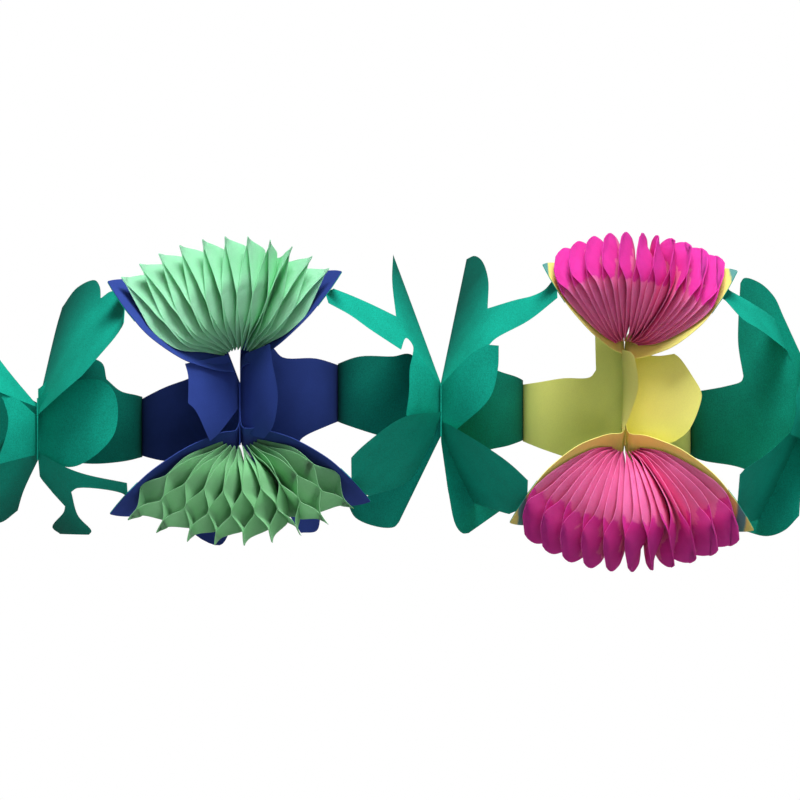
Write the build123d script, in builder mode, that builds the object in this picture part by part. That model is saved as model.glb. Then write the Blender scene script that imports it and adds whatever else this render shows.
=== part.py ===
"""Paper flower garland: die-cut six-lobed sheets glued in a chain, with honeycomb fans.

X runs along the garland, Z is up and the viewer stands on the -Y side. The origin is on the
garland's axis, at the pinch line where the two outer green sheets on the left are glued.
"""

import os
from math import cos, degrees, radians, sin

from build123d import *

os.makedirs("parts", exist_ok=True)

# Driving dimensions, in millimetres
half_pitch = 60.0       # from a pinch line to the tips glued to the next flower
lobe_shoulder = 60.0    # from the garland's axis to the widest place of a lobe
lobe_depth = 60.0       # from a pinch line back to the glued rear tabs
sheet_thickness = 0.4   # of a flower sheet's paper
glue_half_width = 6.0   # half width of the glued centre of two sheets
tab_glue = 9.0          # length of the glued end of a rear tab
tip_glue = 13.0         # length of the glued end of a top or bottom lobe

# Honeycomb fans
leaf_thickness = 0.3    # of a fan leaf's paper
leaf_length = 88.0      # from the fan's pivot to the tip of a leaf beside its carrier
leaf_half_width = 26.0  # half the width of a leaf
rim = 4.0               # how far a carrier lobe shows past its fan
glue_line = 3.0         # width of a glue line between two leaves
mint_top_cells = 11
mint_bottom_cells = 9
pink_cells = 11

# Angles, in degrees
fan_lean = 32.0         # how far the fans lean towards the viewer
quarter_turn = 90.0

# The middle of a glued tip's paper, measured from the carrier's inner face
tip_offset = 1.5 * sheet_thickness

# Anything longer than the garland is deep or high, for cutting right through it
reach = 3.0 * (lobe_shoulder + lobe_depth)

# Pinch lines along the garland, as shares of half_pitch
outer_left_share = 0.0
blue_share = 2.02
middle_share = 4.03
yellow_share = 5.87
outer_right_share = 7.65

# Front view of the sheets: an outline is a list of edges, each a list of points, and a lobe turns a
# sharp corner where two edges meet. Points are shares of half_pitch along the garland from the
# sheet's own pinch line, and of lobe_shoulder above the garland's axis.
# Profiles are lists of points too: across and back for the standing panels, and across and up
# the leaning plane for the top and bottom lobes.

lean_cos = cos(radians(fan_lean))
lean_sin = sin(radians(fan_lean))

# The leaning planes: sketches lie across the garland and up (or down) towards the viewer
top_across = (0, lean_cos, lean_sin)
top_up = (0, -lean_sin, lean_cos)
bottom_across = (0, lean_cos, -lean_sin)
bottom_up = (0, -lean_sin, -lean_cos)


def scaled(points, across, up):
    """Turn a table of shares into places."""
    return [(x * across, y * up) for x, y in points]


class Fan:
    """Where a fan and its two carrier lobes stand: their common pivot line and their angles."""

    def __init__(self, pinch_share, height_share, left_angle, right_angle, length_shares, is_top):
        self.pinch = pinch_share * half_pitch
        self.height = height_share * lobe_shoulder
        self.angles = {"left": left_angle, "right": right_angle}
        lengths = [share * leaf_length for share in length_shares]
        self.lengths = dict(zip(("left", "middle", "right"), lengths))
        self.pivot = Vector(self.pinch, 0, self.height)
        self.up = Vector(*(top_up if is_top else bottom_up))
        self.across = Vector(*(top_across if is_top else bottom_across))
        self.rise = self.pivot.dot(self.up)

    def direction(self, angle):
        """The direction from the pivot at an angle from the middle of the fan."""
        return Vector(1, 0, 0) * sin(radians(angle)) + self.up * cos(radians(angle))

    def profile_plane(self):
        """The plane across the fan through its pivot: X along the garland, Y up the lean."""
        return Plane(self.pivot, x_dir=(1, 0, 0), z_dir=Vector(1, 0, 0).cross(self.up))

    def leaf_plane(self, angle):
        """The plane of a leaf: X from the pivot to the tip, Y across the leaf."""
        out = self.direction(angle)
        return Plane(self.pivot, x_dir=out, z_dir=out.cross(self.across))

    def polar(self, radius, angle):
        """A point of the profile plane."""
        return (radius * sin(radians(angle)), radius * cos(radians(angle)))

    def carrier_length(self, side):
        """From the pivot to the tip of a carrier lobe."""
        return self.lengths[side] + rim

    def glued_point(self, side):
        """Where the next sheet meets the carrier lobe, from the garland's origin."""
        angle = self.angles[side]
        radius = self.carrier_length(side) - tip_glue
        out = (-tip_offset if side == "left" else tip_offset)
        x = self.pinch + radius * sin(radians(angle)) + out * cos(radians(angle))
        y = self.rise + radius * cos(radians(angle)) - out * sin(radians(angle))
        return (x, y)


# Each fan's pivot height is a share of lobe_shoulder. Its two angles run from upright to the left
# and right carrier, and its leaf lengths, at the left, in the middle and at the right, are shares
# of leaf_length.
mint_top = Fan(blue_share, height_share=0.45, left_angle=-53.0, right_angle=43.0,
               length_shares=(1.06, 1.02, 0.97), is_top=True)
mint_bottom = Fan(blue_share, height_share=-0.22, left_angle=-53.0, right_angle=58.0,
                  length_shares=(1.04, 0.90, 1.00), is_top=False)
pink_top = Fan(yellow_share, height_share=0.58, left_angle=-39.0, right_angle=49.0,
               length_shares=(0.85, 0.86, 0.94), is_top=True)
pink_bottom = Fan(yellow_share, height_share=-0.30, left_angle=-50.0, right_angle=50.0,
                  length_shares=(0.98, 0.96, 1.07), is_top=False)

# Where the lobes of the green sheets are glued to each fan's carriers, as they are drawn: shares
# from the green sheet's own pinch line along the garland, and up the lean
mint_top_left_joint_share = (0.892, 1.219)
mint_bottom_left_joint_share = (0.916, 1.006)
mint_top_right_joint_share = (-1.135, 1.306)
mint_bottom_right_joint_share = (-0.888, 0.876)
pink_top_left_joint_share = (1.142, 1.338)
pink_bottom_left_joint_share = (0.847, 1.074)
pink_top_right_joint_share = (-0.846, 1.290)
pink_bottom_right_joint_share = (-0.686, 1.159)

# Where each rear tab is glued to the next flower's, from its own pinch line along the garland
outer_left_joint_share = -1.0
left_joint_share = 1.0
blue_left_joint_share = -1.02
blue_right_joint_share = 0.97
middle_left_joint_share = -1.04
middle_right_joint_share = 0.84
yellow_left_joint_share = -1.0
yellow_right_joint_share = 0.70
right_joint_share = -1.08
outer_right_joint_share = 0.90

# The foot and the head of each glued centre
left_centre_shares = (-0.50, 0.12)
blue_centre_shares = (-0.35, 0.26)
middle_centre_shares = (-0.26, 0.26)
yellow_centre_shares = (-0.35, 0.55)
right_centre_shares = (-0.35, 0.36)

# A rear tab seen from above, between its glued ends: shares of its end's distance and of lobe_depth
tab_profile_shares = [(0.10, 0.22), (0.30, 0.38), (0.60, 0.55), (0.85, 0.72), (0.96, 0.86)]

# Outlines of a fan's leaf and of its carrier lobe: shares of the length and of the half width
carrier_root_shares = [(-0.15, 0.36)]
carrier_outline_shares = [(0.02, 0.42), (0.22, 0.72), (0.45, 1.0), (0.66, 0.98), (0.85, 0.68), (1.0, 0.02)]
mint_outline_shares = [(0.12, 0.06), (0.28, 0.45), (0.52, 1.0), (0.72, 0.86), (0.88, 0.42), (1.0, 0.02)]
pink_outline_shares = [(0.12, 0.15), (0.36, 0.76), (0.70, 1.0), (0.92, 0.80), (1.0, 0.30)]

# The root bend of a carrier lobe: how far it reaches as a share of the lobe's length, and its own
# points as shares of that reach and of the lobe's angle
root_share = 0.13
root_bend_shares = [(0.35, 0.45)]

# A glued tip is this many times as long as its glue line
tip_length_share = 1.6

# Glue lines of the fans, as shares of the leaf's length from the pivot. The two leaves of a cell
# meet at the last line and at every second line below it; at the others they meet the next cells.
mint_top_glue_shares = [0.15, 0.66, 0.97]
mint_bottom_glue_shares = [0.16, 0.66, 0.84, 0.97]
pink_glue_shares = [0.15, 0.74, 0.97]


def other_face(points, side):
    """The points of a profile's second face, a paper's thickness to the right (1) or left (-1)."""
    moved = []
    for index, point in enumerate(points):
        before = points[max(index - 1, 0)]
        after = points[min(index + 1, len(points) - 1)]
        along = (after - before).normalized()
        moved.append(point + Vector(along.Y, -along.X) * side * sheet_thickness)
    return moved


def panel(base, shift, profile, side, outline_shares):
    """One bent lobe: a thin panel creased along its profile and cut to its outline in the front view.

    The profile is one face of the paper, sheet_thickness thick towards side, on a base plane.
    """
    near = [Vector(*p) + Vector(shift, 0) for p in profile]
    far = other_face(near, side)
    outline = []
    for edge in outline_shares:
        for x, z in scaled(edge, half_pitch, lobe_shoulder):
            if (x + shift, z) not in outline:
                outline.append((x + shift, z))
    with BuildPart() as bent:
        with BuildSketch(base):
            Polygon(*near, *reversed(far), align=None)
        extrude(amount=reach, both=True)
        with BuildSketch(Plane.XZ):
            Polygon(*outline, align=None)
        extrude(amount=reach, both=True, mode=Mode.INTERSECT)
    return bent.part


def glued_centre(pinch_share, facing, centre_shares):
    """The flat upright strip of a sheet that is glued to its twin at the pinch line."""
    foot, head = centre_shares
    height = (head - foot) * lobe_shoulder
    middle = (head + foot) / 2 * lobe_shoulder
    with BuildPart() as strip:
        with Locations((pinch_share * half_pitch + facing * sheet_thickness / 2, 0, middle)):
            Box(sheet_thickness, 2 * glue_half_width, height)
    return strip.part


def lobe_sides(length, half_width, shares):
    """The two long edges of a lobe, from its root to its tip and back again."""
    upper = [(length * x, half_width * y) for x, y in shares]
    return upper, [(x, -y) for x, y in reversed(upper)]


def carrier(fan, side):
    """A blue or yellow lobe that carries one side of a fan: flat past its root bend."""
    angle = fan.angles[side]
    length = fan.carrier_length(side)
    root = length * root_share
    facing = 1 if side == "right" else -1
    upper, lower = lobe_sides(length, leaf_half_width + rim, carrier_root_shares + carrier_outline_shares)
    inner = [Vector(0, -root)]
    inner += [Vector(*fan.polar(root * radius, angle * turn)) for radius, turn in root_bend_shares]
    inner += [Vector(*fan.polar(root, angle)), Vector(*fan.polar(length, angle))]
    outward = Vector(*fan.polar(sheet_thickness, angle + quarter_turn * facing))
    outer = other_face(inner, facing)[:-2] + [inner[-2] + outward, inner[-1] + outward]
    with BuildPart() as arm:
        with BuildSketch(fan.profile_plane()):
            Polygon(*inner, *reversed(outer), align=None)
        extrude(amount=reach, both=True)
        with BuildSketch(fan.leaf_plane(angle)):
            Polygon(*upper, *lower, align=None)
        extrude(amount=reach, both=True, mode=Mode.INTERSECT)
    return arm.part


def glued_tip(fan, side):
    """The end of the next sheet's lobe, flat against the outer face of a carrier lobe."""
    angle = fan.angles[side]
    length = fan.carrier_length(side)
    start = length - tip_length_share * tip_glue
    outward = fan.direction(angle + (quarter_turn if side == "right" else -quarter_turn))
    base = fan.leaf_plane(angle)
    base.origin = fan.pivot + outward * sheet_thickness
    upper, lower = lobe_sides(length, leaf_half_width + rim, carrier_outline_shares)
    with BuildPart() as tip:
        with BuildSketch(base):
            Polygon(*upper, *lower, align=None)
            with Locations((start / 2, 0)):
                Rectangle(start, reach, mode=Mode.SUBTRACT)
        extrude(amount=sheet_thickness, dir=outward)
    return tip.part


def leaf(fan, number, count, glue_shares, outline_shares):
    """One honeycomb leaf: it zigzags between its neighbours and meets one or the other at each line."""
    sector = (fan.angles["right"] - fan.angles["left"]) / count
    middle = fan.angles["left"] + (number + 0.5) * sector
    place = 2 * (number + 0.5) / count - 1
    side = "left" if place < 0 else "right"
    length = fan.lengths["middle"] + (fan.lengths[side] - fan.lengths["middle"]) * place ** 2
    turn = 1 if number % 2 == 0 else -1
    right_face = []
    left_face = []
    for index, share in enumerate(glue_shares):
        inward = 1 if (len(glue_shares) - 1 - index) % 2 == 0 else -1
        swing = turn * inward * sector / 2
        for radius in (share * length - glue_line / 2, share * length + glue_line / 2):
            thin = degrees(leaf_thickness / radius)
            if swing > 0:
                right_face.append(fan.polar(radius, middle + swing))
                left_face.append(fan.polar(radius, middle + swing - thin))
            else:
                left_face.append(fan.polar(radius, middle + swing))
                right_face.append(fan.polar(radius, middle + swing + thin))
    upper, lower = lobe_sides(length, leaf_half_width, outline_shares)
    with BuildPart() as sheet:
        with BuildSketch(fan.profile_plane()):
            Polygon(*right_face, *reversed(left_face), align=None)
        extrude(amount=leaf_half_width, both=True)
        with BuildSketch(fan.leaf_plane(middle)):
            Polygon(*upper, *lower, align=None)
        extrude(amount=length * sin(radians(sector)), both=True, mode=Mode.INTERSECT)
    return sheet.part


def write(label, pieces):
    """Join the lobes of one die-cut sheet and write it."""
    with BuildPart() as sheet:
        for piece in pieces:
            add(piece)
    sheet.part.label = label
    export_step(sheet.part, "parts/" + label + ".step")


def standing(pinch_share, facing, joint_share, tab_shares, petal_profile_shares, petal_shares):
    """The rear tab, glued at its end, and the free front petal of one sheet."""
    pinch = pinch_share * half_pitch
    end = joint_share * half_pitch - facing * sheet_thickness
    tab_profile = [(0, 0), (0, glue_half_width)]
    tab_profile += scaled(tab_profile_shares, end, lobe_depth)
    tab_profile += [(end, lobe_depth), (end, lobe_depth + tab_glue)]
    tab = panel(Plane.XY, pinch, tab_profile, facing, tab_shares)
    petal_profile = scaled(petal_profile_shares, half_pitch, lobe_shoulder)
    petal = panel(Plane.XY, pinch, petal_profile, -facing, petal_shares)
    return [tab, petal]


def leaning_plane(is_top):
    """The plane of a leaning lobe's profile: X along the garland, Y up the lean."""
    up = Vector(*(top_up if is_top else bottom_up))
    return Plane((0, 0, 0), x_dir=(1, 0, 0), z_dir=Vector(1, 0, 0).cross(up))


def leaning(pinch_share, facing, profile_shares, outline_shares, is_top):
    """A green top or bottom lobe that leans with the fans and hangs free."""
    pinch = pinch_share * half_pitch
    profile = scaled(profile_shares, half_pitch, lobe_shoulder)
    return panel(leaning_plane(is_top), pinch, profile, facing, outline_shares)


def glued_lobe(pinch_share, facing, fan, side, joint_share, profile_shares, outline_shares, is_top):
    """A green top or bottom lobe that ends against the next flower's lobe, wherever that stands.

    Its shares are drawn for a lobe whose glue line is at joint_share, and stretch with it.
    """
    pinch = pinch_share * half_pitch
    x, up = fan.glued_point(side)
    along = (x - pinch) / joint_share[0] / half_pitch
    rise = up / joint_share[1] / lobe_shoulder
    profile = scaled(scaled(profile_shares, along, rise), half_pitch, lobe_shoulder) + [(x - pinch, up)]
    outline = [scaled(edge, along, rise) for edge in outline_shares]
    return panel(leaning_plane(is_top), pinch, profile, facing, outline)


# Green sheet on the left, glued to the blue flower
left_top_shares = [
    [(0.0, -0.05), (0.0, 0.08)],
    [(0.0, 0.08), (0.14, 0.84), (0.19, 1.04)],
    [(0.19, 1.04), (0.35, 1.24), (0.54, 1.31), (0.60, 1.24), (0.62, 1.12)],
    [(0.62, 1.12), (0.74, 1.19), (0.88, 1.10), (0.92, 0.94), (0.84, 0.77), (0.61, 0.49)],
    [(0.61, 0.49), (0.48, 0.34)],
]
left_bottom_shares = [
    [(0.0, -0.42), (0.32, -0.58), (0.54, -0.65), (0.98, -0.73)],
    [(0.98, -0.73), (1.02, -0.78), (0.92, -0.86)],
    [(0.92, -0.86), (0.84, -0.82), (0.40, -0.78), (0.33, -0.82)],
    [(0.33, -0.82), (0.38, -1.06), (0.51, -1.22), (0.48, -1.26)],
    [(0.48, -1.26), (0.17, -1.26)],
    [(0.17, -1.26), (0.09, -1.19), (0.23, -1.03), (0.25, -0.97)],
    [(0.25, -0.97), (0.10, -0.80), (-0.01, -0.64), (0.0, -0.50)],
]
left_tab_shares = [
    [(-0.01, 0.20), (0.35, 0.52), (0.61, 0.48), (0.66, 0.31)],
    [(0.66, 0.31), (0.80, 0.19), (0.95, 0.15), (1.04, 0.12)],
    [(1.04, 0.12), (1.04, -0.47)],
    [(1.04, -0.47), (0.83, -0.52), (0.45, -0.54), (-0.01, -0.44)],
]
left_petal_shares = [
    [(-0.01, 0.12), (0.30, 0.26), (0.56, 0.31), (0.70, 0.27), (0.79, 0.16), (0.82, -0.05), (0.77, -0.26),
     (0.55, -0.48), (0.32, -0.57), (-0.01, -0.44)],
]
left_petal_profile_shares = [(0, 0), (0.25, -0.26), (0.55, -0.42), (0.84, -0.50)]
green_left = standing(outer_left_share, 1, left_joint_share, left_tab_shares, left_petal_profile_shares,
                      left_petal_shares)
left_top_profile_shares = [(0, 0.0), (0.30, 0.52), (0.65, 0.90), (0.86, 1.10)]
green_left.append(glued_lobe(outer_left_share, 1, mint_top, "left", mint_top_left_joint_share,
                             left_top_profile_shares, left_top_shares, True))
left_bottom_profile_shares = [(0, 0.40), (0.35, 0.68), (0.75, 0.86)]
green_left.append(glued_lobe(outer_left_share, 1, mint_bottom, "left", mint_bottom_left_joint_share,
                             left_bottom_profile_shares, left_bottom_shares, False))
green_left.append(glued_centre(outer_left_share, 1, left_centre_shares))
green_left.append(glued_tip(mint_top, "left"))
green_left.append(glued_tip(mint_bottom, "left"))
write("green_left", green_left)

# Blue sheets
blue_left_tab_shares = [
    [(0.01, 0.24), (-0.19, 0.75)],
    [(-0.19, 0.75), (-0.40, 1.15), (-0.66, 1.46), (-0.78, 1.46), (-0.84, 1.38), (-0.70, 1.05),
     (-0.42, 0.72)],
    [(-0.42, 0.72), (-0.30, 0.45), (-0.50, 0.33), (-0.77, 0.23), (-1.08, 0.08)],
    [(-1.08, 0.08), (-1.08, -0.45)],
    [(-1.08, -0.45), (-0.82, -0.51), (-0.55, -0.54), (-0.30, -0.62)],
    [(-0.30, -0.62), (-0.55, -1.15), (-0.21, -1.36), (-0.09, -1.14), (-0.08, -0.60), (0.01, -0.30)],
]
blue_left_petal_shares = [
    [(0.01, 0.24), (-0.12, 0.55)],
    [(-0.12, 0.55), (-0.35, 0.50), (-0.53, 0.46)],
    [(-0.53, 0.46), (-0.50, 0.34), (-0.50, 0.07)],
    [(-0.50, 0.07), (-0.43, 0.0), (-0.29, -0.31)],
    [(-0.29, -0.31), (-0.22, -0.25), (0.01, 0.05)],
]
blue_left_petal_profile_shares = [(0, 0), (-0.15, -0.25), (-0.34, -0.48), (-0.56, -0.66)]
blue_left = standing(blue_share, -1, blue_left_joint_share, blue_left_tab_shares,
                     blue_left_petal_profile_shares, blue_left_petal_shares)
blue_left.append(glued_centre(blue_share, -1, blue_centre_shares))
blue_left.append(carrier(mint_top, "left"))
blue_left.append(carrier(mint_bottom, "left"))
write("blue_left", blue_left)

blue_right_tab_shares = [
    [(-0.01, 0.24), (0.04, 1.50)],
    [(0.04, 1.50), (0.08, 1.63), (0.16, 1.66), (0.21, 1.56)],
    [(0.21, 1.56), (0.33, 0.62)],
    [(0.33, 0.62), (0.42, 0.53), (0.75, 0.52), (1.02, 0.44)],
    [(1.02, 0.44), (1.02, -0.10)],
    [(1.02, -0.10), (0.87, -0.16), (0.62, -0.28), (0.56, -0.36)],
    [(0.56, -0.36), (0.80, -1.03)],
    [(0.80, -1.03), (0.76, -1.22), (0.60, -1.24)],
    [(0.60, -1.24), (-0.01, -0.30)],
]
blue_right_petal_shares = [
    [(-0.01, 0.24), (0.05, 0.56)],
    [(0.05, 0.56), (0.31, 0.66)],
    [(0.31, 0.66), (0.33, 0.50), (0.39, 0.14), (0.34, -0.16), (0.25, -0.28)],
    [(0.25, -0.28), (0.12, -0.25), (-0.01, -0.08)],
]
blue_right_petal_profile_shares = [(0, 0), (0.12, -0.25), (0.26, -0.48), (0.41, -0.66)]
blue_right = standing(blue_share, 1, blue_right_joint_share, blue_right_tab_shares,
                      blue_right_petal_profile_shares, blue_right_petal_shares)
blue_right.append(glued_centre(blue_share, 1, blue_centre_shares))
blue_right.append(carrier(mint_top, "right"))
blue_right.append(carrier(mint_bottom, "right"))
write("blue_right", blue_right)

# Green sheets in the middle
middle_left_top_shares = [
    [(0.01, 0.24), (-0.48, 1.58)],
    [(-0.48, 1.58), (-0.49, 1.31), (-0.45, 0.94)],
    [(-0.45, 0.94), (-0.70, 1.06), (-0.91, 1.15), (-1.07, 1.21)],
    [(-1.07, 1.21), (-1.14, 1.16), (-1.12, 1.06)],
    [(-1.12, 1.06), (-0.90, 0.94), (-0.72, 0.81), (-0.40, 0.60)],
    [(-0.40, 0.60), (-0.35, 0.72), (-0.28, 0.64), (-0.28, 0.48), (0.01, 0.0)],
]
middle_left_bottom_shares = [
    [(0.01, -0.02), (-0.35, -0.06), (-0.65, -0.25), (-0.90, -0.48), (-0.98, -0.62)],
    [(-0.98, -0.62), (-0.90, -0.76), (-0.72, -0.86)],
    [(-0.72, -0.86), (-0.33, -0.72), (-0.08, -0.30)],
]
middle_left_tab_shares = [
    [(0.01, 0.20), (-0.30, 0.56), (-0.48, 0.54), (-0.82, 0.54), (-1.09, 0.45)],
    [(-1.09, 0.45), (-1.09, -0.10)],
    [(-1.09, -0.10), (-0.99, -0.14), (-0.65, -0.25), (-0.30, -0.34)],
    [(-0.30, -0.34), (-0.62, -0.80), (-0.94, -0.95)],
    [(-0.94, -0.95), (-0.86, -1.09), (-0.63, -1.18), (-0.47, -1.18), (-0.42, -1.13)],
    [(-0.42, -1.13), (0.01, -0.24)],
]
middle_left_petal_shares = [
    [(0.01, 0.24), (-0.26, 0.61)],
    [(-0.26, 0.61), (-0.31, 0.44), (-0.32, 0.18), (-0.35, -0.05)],
    [(-0.35, -0.05), (-0.18, -0.14), (0.01, -0.10)],
]
middle_left_petal_profile_shares = [(0, 0), (-0.10, -0.24), (-0.24, -0.45), (-0.40, -0.62)]
middle_left = standing(middle_share, -1, middle_left_joint_share, middle_left_tab_shares,
                       middle_left_petal_profile_shares, middle_left_petal_shares)
middle_left_top_profile_shares = [(0, 0.12), (-0.38, 0.66), (-0.75, 0.95), (-1.04, 1.16)]
middle_left.append(glued_lobe(middle_share, -1, mint_top, "right", mint_top_right_joint_share,
                              middle_left_top_profile_shares, middle_left_top_shares, True))
middle_left_bottom_profile_shares = [(0, 0.10), (-0.32, 0.46), (-0.66, 0.70)]
middle_left.append(glued_lobe(middle_share, -1, mint_bottom, "right", mint_bottom_right_joint_share,
                              middle_left_bottom_profile_shares, middle_left_bottom_shares, False))
middle_left.append(glued_centre(middle_share, -1, middle_centre_shares))
middle_left.append(glued_tip(mint_top, "right"))
middle_left.append(glued_tip(mint_bottom, "right"))
write("green_middle_left", middle_left)

middle_right_top_shares = [
    [(-0.01, 0.23), (0.27, 1.54)],
    [(0.27, 1.54), (0.35, 1.57), (0.42, 1.52), (0.48, 1.33), (0.47, 1.02)],
    [(0.47, 1.02), (0.74, 1.10), (0.91, 1.14), (1.03, 1.20), (1.10, 1.28)],
    [(1.10, 1.28), (1.18, 1.24), (1.16, 1.12)],
    [(1.16, 1.12), (0.87, 0.89), (0.54, 0.71), (0.46, 0.63), (-0.01, 0.0)],
]
middle_right_bottom_shares = [
    [(-0.01, -0.10), (0.16, -0.19), (0.50, -0.40), (0.69, -0.54), (0.88, -0.72)],
    [(0.88, -0.72), (0.92, -0.82), (0.86, -0.94), (0.68, -1.04)],
    [(0.68, -1.04), (0.60, -1.02), (0.30, -0.92), (0.07, -0.78)],
    [(0.07, -0.78), (-0.01, -0.22)],
]
middle_right_tab_shares = [
    [(-0.01, 0.20), (0.40, 0.50), (0.57, 0.40), (0.78, 0.33), (0.89, 0.27)],
    [(0.89, 0.27), (0.89, -0.29)],
    [(0.89, -0.29), (0.69, -0.36), (0.45, -0.42), (0.30, -0.55)],
    [(0.30, -0.55), (0.50, -0.85), (0.60, -1.02)],
    [(0.60, -1.02), (0.28, -1.24)],
    [(0.28, -1.24), (0.22, -1.24), (0.15, -1.16), (0.07, -0.80)],
    [(0.07, -0.80), (-0.01, -0.24)],
]
middle_right_petal_shares = [
    [(-0.01, 0.24), (0.30, 0.56), (0.46, 0.65)],
    [(0.46, 0.65), (0.57, 0.64)],
    [(0.57, 0.64), (0.56, 0.40), (0.48, 0.12), (0.16, -0.19)],
    [(0.16, -0.19), (-0.01, -0.10)],
]
middle_right_petal_profile_shares = [(0, 0), (0.15, -0.25), (0.36, -0.46), (0.60, -0.60)]
middle_right = standing(middle_share, 1, middle_right_joint_share, middle_right_tab_shares,
                        middle_right_petal_profile_shares, middle_right_petal_shares)
middle_right_top_profile_shares = [(0, 0.12), (0.38, 0.66), (0.76, 0.96), (1.05, 1.20)]
middle_right.append(glued_lobe(middle_share, 1, pink_top, "left", pink_top_left_joint_share,
                               middle_right_top_profile_shares, middle_right_top_shares, True))
middle_right_bottom_profile_shares = [(0, 0.12), (0.32, 0.55), (0.62, 0.86)]
middle_right.append(glued_lobe(middle_share, 1, pink_bottom, "left", pink_bottom_left_joint_share,
                               middle_right_bottom_profile_shares, middle_right_bottom_shares, False))
middle_right.append(glued_centre(middle_share, 1, middle_centre_shares))
middle_right.append(glued_tip(pink_top, "left"))
middle_right.append(glued_tip(pink_bottom, "left"))
write("green_middle_right", middle_right)

# Yellow sheets
yellow_left_tab_shares = [
    [(0.01, 0.52), (-0.05, 0.74), (-0.29, 0.80)],
    [(-0.29, 0.80), (-0.28, 0.40)],
    [(-0.28, 0.40), (-0.34, 0.33), (-0.60, 0.32), (-0.85, 0.28), (-1.05, 0.25)],
    [(-1.05, 0.25), (-1.05, -0.30)],
    [(-1.05, -0.30), (-0.83, -0.39), (-0.60, -0.47), (-0.30, -0.58)],
    [(-0.30, -0.58), (0.01, -0.35)],
]
yellow_left_petal_shares = [
    [(-0.04, 0.60), (0.05, 0.56), (0.10, 0.36)],
    [(0.10, 0.36), (0.10, 0.20), (0.03, -0.05), (-0.04, -0.22)],
]
yellow_left_petal_profile_shares = [(0, 0), (-0.02, -0.20), (0.04, -0.50), (0.12, -0.80)]
yellow_left = standing(yellow_share, -1, yellow_left_joint_share, yellow_left_tab_shares,
                       yellow_left_petal_profile_shares, yellow_left_petal_shares)
yellow_left.append(glued_centre(yellow_share, -1, yellow_centre_shares))
yellow_left.append(carrier(pink_top, "left"))
yellow_left.append(carrier(pink_bottom, "left"))
write("yellow_left", yellow_left)

yellow_right_tab_shares = [
    [(-0.01, 0.45), (0.30, 0.40), (0.55, 0.20), (0.75, 0.12)],
    [(0.75, 0.12), (0.75, -0.44)],
    [(0.75, -0.44), (0.58, -0.46), (0.36, -0.44), (-0.01, -0.35)],
]
yellow_right_petal_shares = [
    [(-0.01, 0.58), (0.32, 0.54), (0.48, 0.56)],
    [(0.48, 0.56), (0.53, 0.52), (0.64, 0.36), (0.74, 0.18), (0.74, 0.10), (0.62, -0.20), (0.49, -0.31)],
    [(0.49, -0.31), (0.30, -0.36), (-0.01, -0.34)],
]
yellow_right_petal_profile_shares = [(0, 0), (0.22, -0.22), (0.50, -0.40), (0.78, -0.52)]
yellow_right = standing(yellow_share, 1, yellow_right_joint_share, yellow_right_tab_shares,
                        yellow_right_petal_profile_shares, yellow_right_petal_shares)
yellow_right.append(glued_centre(yellow_share, 1, yellow_centre_shares))
yellow_right.append(carrier(pink_top, "right"))
yellow_right.append(carrier(pink_bottom, "right"))
write("yellow_right", yellow_right)

# Green sheet on the right
right_top_shares = [
    [(0.01, 0.50), (-0.18, 0.85), (-0.31, 0.95), (-0.52, 1.07), (-0.75, 1.19)],
    [(-0.75, 1.19), (-0.86, 1.30), (-0.87, 1.14), (-0.80, 1.08)],
    [(-0.80, 1.08), (-0.63, 0.90), (-0.45, 0.80), (-0.15, 0.60)],
    [(-0.15, 0.60), (0.01, 0.20)],
]
right_bottom_shares = [
    [(0.01, -0.05), (-0.16, -0.24), (-0.40, -0.44), (-0.64, -0.58)],
    [(-0.64, -0.58), (-0.76, -0.72), (-0.72, -0.90), (-0.54, -1.12)],
    [(-0.54, -1.12), (-0.30, -1.08), (-0.12, -1.02), (0.01, -0.60)],
]
right_tab_shares = [
    [(0.01, 0.50), (-0.18, 0.94), (-0.27, 1.14), (-0.41, 1.28), (-0.56, 1.33), (-0.60, 1.28)],
    [(-0.60, 1.28), (-0.62, 0.90), (-0.62, 0.65), (-0.57, 0.34)],
    [(-0.57, 0.34), (-0.59, 0.29), (-0.74, 0.24), (-1.13, 0.17)],
    [(-1.13, 0.17), (-1.13, -0.44)],
    [(-1.13, -0.44), (-0.98, -0.51), (-0.64, -0.57), (-0.40, -0.66)],
    [(-0.40, -0.66), (-0.56, -1.22)],
    [(-0.56, -1.22), (-0.34, -1.27), (-0.17, -1.21), (-0.03, -1.06)],
    [(-0.03, -1.06), (0.01, -0.40)],
]
right_petal_shares = [
    [(0.01, 0.34), (-0.05, 0.26), (-0.10, 0.15), (-0.10, 0.0), (-0.16, -0.24)],
    [(-0.16, -0.24), (0.01, -0.30)],
]
right_petal_profile_shares = [(0, 0), (-0.02, -0.24), (-0.08, -0.48), (-0.20, -0.72)]
green_right = standing(outer_right_share, -1, right_joint_share, right_tab_shares,
                       right_petal_profile_shares, right_petal_shares)
right_top_profile_shares = [(0, 0.10), (-0.28, 0.62), (-0.58, 1.02)]
green_right.append(glued_lobe(outer_right_share, -1, pink_top, "right", pink_top_right_joint_share,
                              right_top_profile_shares, right_top_shares, True))
right_bottom_profile_shares = [(0, 0.10), (-0.28, 0.52), (-0.52, 0.86)]
green_right.append(glued_lobe(outer_right_share, -1, pink_bottom, "right", pink_bottom_right_joint_share,
                              right_bottom_profile_shares, right_bottom_shares, False))
green_right.append(glued_centre(outer_right_share, -1, right_centre_shares))
green_right.append(glued_tip(pink_top, "right"))
green_right.append(glued_tip(pink_bottom, "right"))
write("green_right", green_right)

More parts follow.
